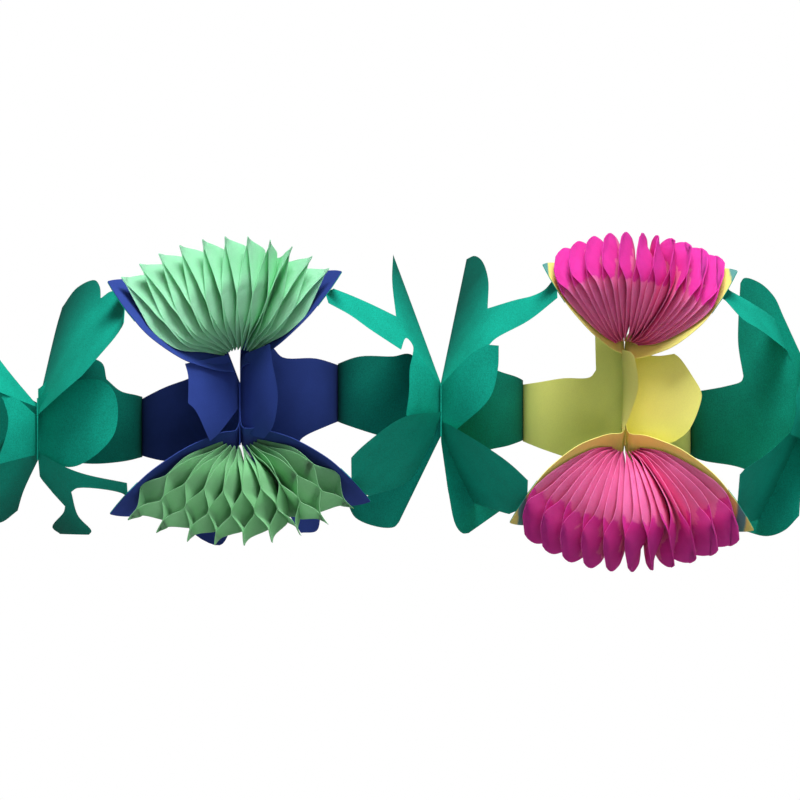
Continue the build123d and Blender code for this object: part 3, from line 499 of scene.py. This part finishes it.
def paper(label, grid, place, thickness, reached=None):
    """A grid of paper laid out by place(u, v), with its thickness, cut edges in the second slot.

    reached(u) is how far along its fan a leaf or lobe has come, which its print, and the painted shade of the
    mint leaves, follow.
    """
    bpy.ops.object.select_all(action="DESELECT")
    bpy.ops.mesh.primitive_grid_add(x_subdivisions=grid[0], y_subdivisions=grid[1], size=2.0)
    piece = bpy.context.active_object
    piece.name = label
    reach = piece.data.attributes.new("reach", "FLOAT", "POINT")
    for vertex, mark in zip(piece.data.vertices, reach.data):
        u, v = (vertex.co.x + 1) / 2, (vertex.co.y + 1) / 2
        vertex.co = place(u, v)
        mark.value = reached(u) if reached else 0.0
    piece.data.materials.append(None)
    piece.data.materials.append(None)
    wall = piece.modifiers.new("Paper", "SOLIDIFY")
    wall.thickness = thickness
    wall.offset = 0.0
    wall.use_even_offset = True
    wall.material_offset_rim = 1
    bpy.ops.object.modifier_apply(modifier=wall.name)
    bpy.ops.object.mode_set(mode="EDIT")
    bpy.ops.mesh.select_all(action="SELECT")
    bpy.ops.mesh.normals_make_consistent(inside=False)
    bpy.ops.object.mode_set(mode="OBJECT")
    return piece


def outline_points(outline, pinch):
    """The front outline of a lobe, in metres."""
    size = sizes()
    line, start = [], []
    for edge in outline:
        run = start + [(x * size.half_pitch + pinch, z * size.lobe_shoulder) for x, z in edge]
        line += [point for point in smooth_line(run, outline_steps)
                 if not line or (point - line[-1]).length > 1e-6]
        start = run[-1:]
    if (line[0] - line[-1]).length < 1e-6:
        line.pop()
    return line


def die_cut(piece, line):
    """Cut a bent sheet to its outline, as a die cuts it, seen from the front."""
    reach = die_depths * sizes().lobe_depth
    bpy.ops.object.select_all(action="DESELECT")
    bpy.ops.mesh.primitive_circle_add(vertices=len(line), fill_type="NGON")
    die = bpy.context.active_object
    for vertex, point in zip(die.data.vertices, line):
        vertex.co = (point.x, -reach / 2, point.y)
    die.data.materials.append(None)
    die.data.materials.append(None)
    bpy.ops.object.mode_set(mode="EDIT")
    bpy.ops.mesh.select_all(action="SELECT")
    bpy.ops.mesh.extrude_region_move(TRANSFORM_OT_translate={"value": (0.0, reach, 0.0)})
    bpy.ops.mesh.select_all(action="SELECT")
    bpy.ops.mesh.normals_make_consistent(inside=False)
    bpy.ops.object.mode_set(mode="OBJECT")
    for face in die.data.polygons:
        face.material_index = 1
    bpy.ops.object.select_all(action="DESELECT")
    piece.select_set(True)
    bpy.context.view_layer.objects.active = piece
    cut = piece.modifiers.new("Die", "BOOLEAN")
    cut.operation = "INTERSECT"
    cut.solver = "EXACT"
    cut.object = die
    bpy.ops.object.modifier_apply(modifier=cut.name)
    mesh = die.data
    bpy.data.objects.remove(die)
    bpy.data.meshes.remove(mesh)
    if not piece.data.polygons:
        raise RuntimeError(piece.name + " is cut away")
    return piece


def joined(label, lobes):
    """One sheet from its lobes."""
    bpy.ops.object.select_all(action="DESELECT")
    for lobe in lobes:
        lobe.select_set(True)
    bpy.context.view_layer.objects.active = lobes[0]
    bpy.ops.object.join()
    sheet = bpy.context.active_object
    sheet.name = label
    sheet.data.name = label
    bpy.ops.object.shade_smooth_by_angle(angle=radians(sharp_angle))
    return sheet


class FanShape:
    """Where a fan and its two carrier lobes stand."""

    def __init__(self, label):
        size = sizes()
        pinch, height, self.angles, shares, self.rises, self.fronts = FANS[label]
        lean = size.fan_lean
        self.pivot = Vector((pinch * size.half_pitch, 0.0, height * size.lobe_shoulder))
        self.up = Vector((0.0, -sin(lean), self.rises * cos(lean)))
        self.across = Vector((0.0, cos(lean), self.rises * sin(lean)))
        self.lengths = [share * size.leaf_length for share in shares]

    def direction(self, angle):
        return Vector((1.0, 0.0, 0.0)) * sin(radians(angle)) + self.up * cos(radians(angle))

    def carrier_length(self, side):
        return self.lengths[0 if side < 0 else 2] + sizes().rim

    def side_angle(self, side):
        return self.angles[0 if side < 0 else 1]

    def across_at(self, half, v, place):
        """How far across the fan a lobe or leaf reaches at v; place runs from -1 at the left to 1."""
        across = half * between(-1, 1, v)
        return across if v > 0.5 else across * between(self.fronts[0], self.fronts[1], (place + 1) / 2)


def width_at(shares, share):
    """The half width of a lobe at a share of its length, as a share of the widest."""
    line = Profile([shares]).points
    if share <= line[0].x:
        return line[0].y
    for before, after in zip(line, line[1:]):
        if share <= after.x:
            return between(before.y, after.y, (share - before.x) / max(after.x - before.x, 1e-9))
    return line[-1].y


def bent_lobe(label, pinch, profile, facing, outline, grid, rises=0, bow=0.0):
    """A lobe bent along its profile: seen from above, or up the lean of the fans where it rises or falls."""
    size = sizes()
    line = outline_points(outline, pinch)
    low = min(point.y for point in line) - size.rim
    high = max(point.y for point in line) + size.rim

    def place(u, v):
        point, along = profile.at(u)
        outward = Vector((along.y, -along.x)) * facing
        point = point + outward * (size.sheet_paper / 2 + bow * sin(pi * u) * (2 * v - 1) ** 2)
        height = between(low, high, v)
        back = point.y
        if rises:
            back = (rises * height * cos(size.fan_lean) - point.y) / sin(size.fan_lean)
        return (point.x + pinch, back, height)

    return die_cut(paper(label, grid, place, size.sheet_paper), line)


def centre_strip(label, pinch, facing, heights):
    """The flat glued centre of a sheet."""
    size = sizes()

    def place(u, v):
        return (pinch + facing * size.sheet_paper / 2, between(-1, 1, u) * size.glue_half_width,
                between(heights[0], heights[1], v) * size.lobe_shoulder)

    return paper(label, centre_grid, place, size.sheet_paper * centre_paper_share)


def glued_tip(fan, side):
    """The tip of a green lobe, flat against the carrier lobe on one side of a fan."""
    size = sizes()
    angle = fan.side_angle(side)
    length = fan.carrier_length(side)
    start = 1 - tip_length_share * size.tip_glue / length
    out = fan.direction(angle + 90.0 * side) * (tip_gap_papers * size.sheet_paper)

    def place(u, v):
        share = between(start, 1.0, crowded(u, tip_crowding))
        half = (size.leaf_half_width + size.rim) * width_at(carrier_outline_shares, share)
        return (fan.pivot + fan.direction(angle) * share * length + out
                + fan.across * fan.across_at(half, v, side))

    return paper("tip", tip_grid, place, size.sheet_paper)


def carrier_lobe(label, fan, side):
    """A blue or yellow lobe with its root bend, which carries one side of a fan."""
    size = sizes()
    length = fan.carrier_length(side)
    root = length * root_share
    angle = radians(fan.side_angle(side))
    tip = Vector((sin(angle), cos(angle)))
    bend = [Vector((0.0, -root))]
    bend += [Vector((sin(turn * angle), cos(turn * angle))) * root * part for part, turn in root_bend_shares]
    bend += [tip * root, tip * length * 0.5, tip * length]
    profile = Profile([bend])
    shares = carrier_root_shares + carrier_outline_shares
    print_share = 1.0 if fan.rises < 0 else top_print_share

    def place(u, v):
        point, along = profile.at(crowded(u, carrier_crowding))
        outward = Vector((along.y, -along.x)) * side
        reached = max(point.dot(tip) / length, shares[0][0])
        half = (size.leaf_half_width + size.rim) * width_at(shares, reached)
        point = point + outward * size.sheet_paper / 2
        return (fan.pivot + Vector((point.x, 0.0, 0.0)) + fan.up * point.y
                + fan.across * fan.across_at(half, v, side))

    return paper(label, carrier_grid, place, size.sheet_paper,
                 lambda u: crowded(u, carrier_crowding) * print_share)


def tab_profile(joint, facing):
    """A rear tab seen from above: flat at the glued centre, bent back, and flat along its glued end."""
    size = sizes()
    end = joint * size.half_pitch - facing * size.sheet_paper
    bend = [(0.0, size.glue_half_width)]
    bend += [(x * end, y * size.lobe_depth) for x, y in tab_profile_shares]
    bend += [(end, size.lobe_depth)]
    return Profile([[(0.0, 0.0), (0.0, size.glue_half_width)], bend,
                    [(end, size.lobe_depth), (end, size.lobe_depth + size.tab_glue)]])


def share_profile(shares, along=1.0, rise=1.0, last=None):
    """A free or glued lobe's profile, stretched until it ends at its glue line."""
    size = sizes()
    points = [(x * along * size.half_pitch, y * rise * size.lobe_shoulder) for x, y in shares]
    return Profile([points + ([last] if last else [])])


def glued_point(fan, side, pinch):
    """Where the next sheet's lobe meets the carrier lobe, in that lobe's own profile."""
    size = sizes()
    radius = fan.carrier_length(side) - size.tip_glue
    out = tip_gap_papers * size.sheet_paper * side
    angle = radians(fan.side_angle(side))
    return (fan.pivot.x - pinch + radius * sin(angle) + out * cos(angle),
            fan.pivot.dot(fan.up) + radius * cos(angle) - out * sin(angle))


def make_sheet(label):
    """One die-cut sheet with all its lobes."""
    size = sizes()
    cut = SHEETS[label]
    pinch = cut["pinch"] * size.half_pitch
    facing = cut["facing"]
    lobes = [bent_lobe("tab", pinch, tab_profile(cut["joint"], facing), facing, cut["tab"], tab_grid),
             bent_lobe("petal", pinch, share_profile(cut["petal_profile"]), -facing, cut["petal"], tab_grid,
                       bow=size.rim),
             centre_strip("centre", pinch, facing, cut["centre"])]
    for part, rises in (("top", 1), ("bottom", -1)):
        if part in cut:
            along, rise, last = 1.0, 1.0, None
            if cut.get(part + "_fan"):
                fan = FanShape(cut[part + "_fan"])
                side = -1 if fan.pivot.x > pinch else 1
                last = glued_point(fan, side, pinch)
                along = last[0] / cut[part + "_joint"][0] / size.half_pitch
                rise = last[1] / cut[part + "_joint"][1] / size.lobe_shoulder
                lobes.append(glued_tip(fan, side))
            profile = share_profile(cut[part + "_profile"], along, rise, last)
            outline = [[(x * along, z * rise) for x, z in edge] for edge in cut[part]]
            lobes.append(bent_lobe(part, pinch, profile, facing, outline, leaning_grid, rises))
        else:
            lobe = carrier_lobe(part, FanShape(cut["fans"] + "_" + part), facing)
            if part + "_root" in cut:
                lobe = die_cut(lobe, outline_points(cut[part + "_root"], pinch))
            lobes.append(lobe)
    return joined(label, lobes)


def swing_at(leaf, share, flat):
    """Where a leaf stands between its neighbours: 1 where the leaves of a cell meet, -1 where cells meet."""
    glue, opening = leaf["glue"], leaf["opening"]
    signs = [1.0 if (len(glue) - 1 - index) % 2 == 0 else -1.0 for index in range(len(glue))]
    if share <= glue[0] + flat:
        return signs[0]
    for index in range(len(glue) - 1):
        start, end = glue[index] + flat, glue[index + 1] - flat
        if share < start:
            return signs[index] * (opening if signs[index] < 0 else 1.0)
        if share < end:
            way = (share - start) / (end - start)
            crossing = between(1 - 2 * way, cos(pi * way), sway_round_share)
            if index == len(glue) - 2:
                crossing = 1 - 2 * (sin(pi / 2 * way) if leaf["fingers"] else way)
            swing = signs[index] * crossing
            return swing * opening if swing < 0 else swing
    return 1.0


def turned_aside(fan, leaf, share, inward, across, place_here, lilt):
    """How far a leaf is turned and bowed aside at one of its points, and how far its loose tip curls."""
    size = sizes()
    faded = min(1.0, share / full_share) * (1 - (max(share - tip_share, 0.0) / (1 - tip_share)) ** 2)
    turn = max(-1.0, min(1.0, (turn_place - place_here) / turn_width))
    bow = max(0.0, 1 - ((place_here - turn_place) / bow_width) ** 2)
    loose = max(share - leaf["glue"][-2], 0.0) / (1 - leaf["glue"][-2])
    return (size.rim * turn_rims * turn * faded * (1 - max(0.0, 1 - inward) ** 2)
            + size.rim * bow_rims * bow * faded * sin(pi * min(1.0, inward / bow_depths))
            + leaf["curl"] * loose ** 2 * (lilt * size.glue_line + across * curl_lean_share))


def make_leaf(fan, leaf, number, count):
    """One honeycomb leaf, which sways between its two neighbours."""
    size = sizes()
    sector = (fan.angles[1] - fan.angles[0]) / count
    middle = fan.angles[0] + (number + 0.5) * sector
    place_share = 2 * (number + 0.5) / count - 1
    end = fan.lengths[0] if place_share < 0 else fan.lengths[2]
    length = between(fan.lengths[1], end, place_share ** 2)
    side = 1 if number % 2 == 0 else -1
    flat = size.glue_line / 2 / length
    start = leaf["glue"][0] - flat
    depth = size.leaf_half_width * turn_depth_share
    lilt = noise.noise(Vector((number // 2 * lilt_step, fan.pivot.x * lilt_spread, fan.rises)))
    lilt *= 1 - place_share ** 4

    def place(u, v):
        share = between(start, 1.0, crowded(u, leaf_crowding))
        thin = size.leaf_paper / 2 / (share * length)
        swing = side * swing_at(leaf, share, flat) * (radians(sector) / 2 - thin)
        half = size.leaf_half_width * width_at(leaf["outline"], share)
        across = fan.across_at(half, v, place_share)
        if v > 0.5:
            across *= between(1.0, leaf["back"], max(share - finger_share, 0.0) / (1 - finger_share))
        angle = middle + swing * 180.0 / pi
        place_here = 2 * (angle - fan.angles[0]) / (fan.angles[1] - fan.angles[0]) - 1
        inward = (across - fan.across_at(half, 0.0, place_share)) / depth
        aside = turned_aside(fan, leaf, share, inward, across, place_here, lilt)
        return (fan.pivot + fan.direction(angle) * share * length + fan.across * across
                + fan.direction(angle + 90.0) * aside)

    return paper("leaf", leaf_grid, place, size.leaf_paper,
                 lambda u: between(start, 1.0, crowded(u, leaf_crowding)))


def make_fan(label, count, finishes):
    """The cells of a fan, each of two leaves glued at the rim."""
    fan = FanShape(label)
    for number in range(count):
        node = label + "_cell_" + str(number + 1).zfill(2)
        pair = [make_leaf(fan, LEAVES[label], 2 * number + half, 2 * count) for half in (0, 1)]
        finish_piece(joined(node + "_paper", pair), node, finishes)


def add_node(tree, kind, *inputs, operation=None, **named):
    """A shader node. A socket given for an input is linked to it, and any other value is set there.

    A _ in the name of an input stands for a space.
    """
    node = tree.nodes.new("ShaderNode" + kind)
    if operation:
        node.operation = operation
    for name, value in [*enumerate(inputs), *named.items()]:
        socket = node.inputs[name if isinstance(name, int) else name.replace("_", " ")]
        if isinstance(value, bpy.types.NodeSocket):
            tree.links.new(value, socket)
        else:
            socket.default_value = value
    return node


def paper_finish(label, kind, colour, tint=None):
    """A matt paper: soft clouding in its colour or tint, a fine grain and a slight tooth."""
    cloud_scale, cloud_depth, grain_depth, through = PAPERS[kind]
    finish = bpy.data.materials.new(label)
    finish.use_nodes = True
    tree = finish.node_tree
    shader = tree.nodes["Principled BSDF"]
    for name, value in (("Roughness", paper_roughness), ("Specular IOR Level", paper_shine),
                        ("Subsurface Weight", through), ("Subsurface Radius", (1.0, 1.0, 1.0)),
                        ("Subsurface Scale", light_spread)):
        shader.inputs[name].default_value = value
    place = add_node(tree, "TexCoord").outputs["Object"]
    factors = []
    for scale, detail, depth in ((cloud_scale, cloud_detail, cloud_depth),
                                 (grain_scale, grain_detail, grain_depth)):
        pattern = add_node(tree, "TexNoise", Vector=place, Scale=scale, Detail=detail).outputs["Fac"]
        factors.append(add_node(tree, "MapRange", Value=pattern, From_Min=noise_low, From_Max=noise_high,
                                To_Min=1.0 - depth, To_Max=1.0 + depth).outputs["Result"])
    tone = add_node(tree, "Math", *factors, operation="MULTIPLY").outputs["Value"]
    toned = add_node(tree, "VectorMath", tint(tree, place) if tint else tuple(colour), Scale=tone,
                     operation="SCALE")
    tooth = add_node(tree, "Bump", Height=pattern, Strength=tooth_strength, Distance=tooth_height)
    tree.links.new(toned.outputs["Vector"], shader.inputs["Base Color"])
    tree.links.new(tooth.outputs["Normal"], shader.inputs["Normal"])
    return finish


def papers(label, kind, colour, tint):
    """A paper of this tint for a piece's faces, and a paler one of this colour for its cut edges."""
    pale = [between(part, pale_tone, pale_share) for part in colour]
    return [paper_finish(label + "_paper", kind, colour, tint),
            paper_finish(label + "_cut_edge", "cut_edge", pale)]


def colour_ramp(tree, place, stops):
    """The colour at a place along a ramp."""
    ramp = add_node(tree, "ValToRGB", Fac=place)
    while len(ramp.color_ramp.elements) < len(stops):
        ramp.color_ramp.elements.new(1.0)
    for element, (position, colour) in zip(ramp.color_ramp.elements, stops):
        element.position = position
        element.color = (*colour, 1.0)
    return ramp.outputs["Color"]


def banded(stops, waver):
    """A colour that changes with a leaf's reach from its pivot, with a wavering border."""
    stops = list(stops)

    def tint(tree, place):
        reach = add_node(tree, "Attribute")
        reach.attribute_name = "reach"
        wave = add_node(tree, "TexNoise", Vector=place, Scale=waver_scale, Detail=waver_detail).outputs["Fac"]
        shift = add_node(tree, "Math", wave, waver, reach.outputs["Fac"], operation="MULTIPLY_ADD")
        return colour_ramp(tree, shift.outputs["Value"], stops)

    return tint


def shaded_to_back(near, share):
    """Painted shade: a colour that goes darker towards the back, down to a share of itself."""

    def tint(tree, place):
        back = add_node(tree, "SeparateXYZ", Vector=place).outputs["Y"]
        depth = add_node(tree, "MapRange", Value=back, From_Min=0.0, From_Max=back_shade_depth).outputs["Result"]
        return colour_ramp(tree, depth, [(0.0, near), (1.0, [part * share for part in near])])

    return tint


def finish_piece(piece, node, finishes):
    """Give a piece its papers and put it in its node's place."""
    for index, finish in enumerate(finishes):
        piece.material_slots[index].material = finish
    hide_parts(node)
    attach(piece, "root")


def make_sheets(labels, finishes):
    for label in labels:
        finish_piece(make_sheet(label), label, finishes)


class GARLAND_OT_green_sheets(bpy.types.Operator):
    """Make the green sheets between and beyond the two flowers"""

    bl_idname = "garland.green_sheets"
    bl_label = "Green sheets"

    def execute(self, context):
        green = context.scene.garland_colours.green
        # Painted shade: the green paper darkens towards the back, where the rear tabs lie
        finishes = papers("green", "green", green, shaded_to_back(green, green_back_shade_share))
        make_sheets([label for label in SHEETS if label.startswith("green")], finishes)
        return {"FINISHED"}


class GARLAND_OT_blue_sheets(bpy.types.Operator):
    """Make the two blue sheets that carry the mint fans"""

    bl_idname = "garland.blue_sheets"
    bl_label = "Blue sheets"

    def execute(self, context):
        blue = context.scene.garland_colours.blue
        # Painted shade: the blue paper darkens towards the back, where the rear tabs lie
        finishes = papers("blue", "blue", blue, shaded_to_back(blue, blue_back_shade_share))
        make_sheets(["blue_left", "blue_right"], finishes)
        return {"FINISHED"}


class GARLAND_OT_yellow_sheets(bpy.types.Operator):
    """Make the two yellow sheets that carry the pink fans, with the teal print at their tips"""

    bl_idname = "garland.yellow_sheets"
    bl_label = "Yellow sheets"

    def execute(self, context):
        shades = context.scene.garland_colours
        colours = (shades.yellow, shades.yellow, shades.teal, shades.teal, shades.yellow)
        finishes = papers("yellow", "yellow", shades.yellow, banded(zip(teal_bands, colours), teal_waver))
        make_sheets(["yellow_left", "yellow_right"], finishes)
        return {"FINISHED"}


class GARLAND_OT_mint_fans(bpy.types.Operator):
    """Make the leaves of the two mint honeycomb fans"""

    bl_idname = "garland.mint_fans"
    bl_label = "Mint fans"

    def execute(self, context):
        shades = context.scene.garland_colours
        size = sizes()
        # Painted shade: the bottom fan takes the darkened mint, and each mint leaf darkens towards its pivot
        for label, count, mint in (("mint_top", size.mint_top_cells, shades.mint),
                                   ("mint_bottom", size.mint_bottom_cells, shades.mint_shaded_below)):
            colours = ([part * mint_centre_shade_share for part in mint], mint, mint)
            finishes = papers(label, "mint", mint, banded(zip(mint_shade_bands, colours), mint_shade_waver))
            make_fan(label, count, finishes)
        return {"FINISHED"}


class GARLAND_OT_pink_fans(bpy.types.Operator):
    """Make the cells of the two pink honeycomb fans, each of two leaves"""

    bl_idname = "garland.pink_fans"
    bl_label = "Pink fans"

    def execute(self, context):
        shades = context.scene.garland_colours
        colours = (shades.pink_centre, shades.pink_centre, shades.pink, shades.pink,
                   shades.pink_rim, shades.pink_rim)
        finishes = papers("pink", "pink", shades.pink_rim, banded(zip(pink_bands, colours), pink_waver))
        for label in ("pink_top", "pink_bottom"):
            make_fan(label, sizes().pink_cells, finishes)
        return {"FINISHED"}


def bright_ground(label, shade, seen):
    """A plain pale ground that throws little light back.

    Where seen is above 0 it glows evenly, and otherwise it is bright with the shadows on it.
    """
    finish = bpy.data.materials.new(label)
    finish.use_nodes = True
    tree = finish.node_tree
    tree.nodes.clear()
    matt = add_node(tree, "BsdfDiffuse", Color=(shade, shade, shade, 1.0)).outputs["BSDF"]
    if seen > 0:
        bright = add_node(tree, "Emission", Strength=seen).outputs["Emission"]
    else:
        white = (floor_white, floor_white, floor_white, 1.0)
        bright = add_node(tree, "BsdfDiffuse", Color=white).outputs["BSDF"]
        own = add_node(tree, "Emission", Strength=floor_glow).outputs["Emission"]
        bright = add_node(tree, "AddShader", bright, own).outputs["Shader"]
    path = add_node(tree, "LightPath").outputs
    direct = add_node(tree, "Math", path["Is Camera Ray"], path["Is Glossy Ray"], operation="MAXIMUM")
    any_ray = add_node(tree, "Math", direct.outputs["Value"], path["Is Transmission Ray"], operation="MAXIMUM")
    blend = add_node(tree, "MixShader", any_ray.outputs["Value"], matt, bright)
    add_node(tree, "OutputMaterial", Surface=blend.outputs["Shader"])
    return finish


def add_ground(label, place, turn, finish):
    """A plain ground of the stage."""
    bpy.ops.object.select_all(action="DESELECT")
    bpy.ops.mesh.primitive_plane_add(size=ground_size, location=place, rotation=(turn, 0, 0))
    ground = bpy.context.active_object
    ground.name = label
    ground.data.materials.append(finish)


def soft_lamp(label, place, aim, width, power):
    bpy.ops.object.light_add(type="AREA", location=place)
    lamp = bpy.context.active_object
    lamp.name = label
    lamp.data.shape = "SQUARE"
    lamp.data.size = width
    lamp.data.energy = power
    lamp.rotation_euler = (Vector(aim) - Vector(place)).to_track_quat("-Z", "Y").to_euler()


class GARLAND_OT_stage(bpy.types.Operator):
    """Make the floor, the backdrop, the soft lamps and the camera"""

    bl_idname = "garland.stage"
    bl_label = "Stage"

    def execute(self, context):
        pixel = sizes().half_pitch / parts_per_half_pitch
        middle = Vector(((picture_middle - pinch_line) * pixel, 0.0, (axis_line - picture_middle) * pixel))
        low = middle.z - floor_drop
        add_ground("floor", (middle.x, 0.0, low), 0, bright_ground("pale_floor", floor_shade, 0.0))
        add_ground("backdrop", (middle.x, backdrop_away, low + ground_size / 2), pi / 2,
                   bright_ground("pale_backdrop", backdrop_shade, 1.0))
        bpy.ops.object.select_all(action="DESELECT")
        for label, (along, back, up, width, power) in LAMPS.items():
            soft_lamp(label, (middle.x + along, back, up), middle, width, power)
        world = bpy.data.worlds.new("room")
        context.scene.world = world
        world.use_nodes = True
        tree = world.node_tree
        ground = tree.nodes["Background"]
        ground.inputs["Color"].default_value = (1.0, 1.0, 1.0, 1.0)
        seen = add_node(tree, "LightPath").outputs["Is Camera Ray"]
        level = add_node(tree, "MapRange", Value=seen, To_Min=room_light, To_Max=1.0)
        tree.links.new(level.outputs["Result"], ground.inputs["Strength"])
        bpy.ops.object.camera_add(location=(middle.x, -camera_away, middle.z), rotation=(pi / 2, 0.0, 0.0))
        camera = context.active_object
        camera.name = "camera"
        camera.data.sensor_width = sensor_width
        camera.data.lens = sensor_width * camera_away / (picture_width * pixel)
        camera.data.clip_end = view_end
        context.scene.camera = camera
        context.scene.view_settings.view_transform = "Standard"
        return {"FINISHED"}


class GARLAND_PT_panel(bpy.types.Panel):
    """The garland's sizes, colours and pieces"""

    bl_idname = "GARLAND_PT_panel"
    bl_label = "Paper flower garland"
    bl_space_type = "VIEW_3D"
    bl_region_type = "UI"
    bl_category = "Garland"

    def draw(self, context):
        for group in (context.scene.garland_sizes, context.scene.garland_colours):
            box = self.layout.box()
            for name in type(group).__annotations__:
                box.prop(group, name)
        for operator in STEPS:
            self.layout.operator(operator.bl_idname)


STEPS = (GARLAND_OT_stage, GARLAND_OT_green_sheets, GARLAND_OT_blue_sheets, GARLAND_OT_yellow_sheets,
         GARLAND_OT_mint_fans, GARLAND_OT_pink_fans)
CLASSES = (GarlandSizes, GarlandColours) + STEPS + (GARLAND_PT_panel,)


def register():
    for part in CLASSES:
        bpy.utils.register_class(part)
    bpy.types.Scene.garland_sizes = PointerProperty(type=GarlandSizes)
    bpy.types.Scene.garland_colours = PointerProperty(type=GarlandColours)


def unregister():
    del bpy.types.Scene.garland_colours
    del bpy.types.Scene.garland_sizes
    for part in reversed(CLASSES):
        bpy.utils.unregister_class(part)


def main():
    register()
    bpy.ops.garland.stage()
    bpy.ops.garland.green_sheets()
    bpy.ops.garland.blue_sheets()
    bpy.ops.garland.yellow_sheets()
    bpy.ops.garland.mint_fans()
    bpy.ops.garland.pink_fans()


if __name__ == "__main__":
    main()
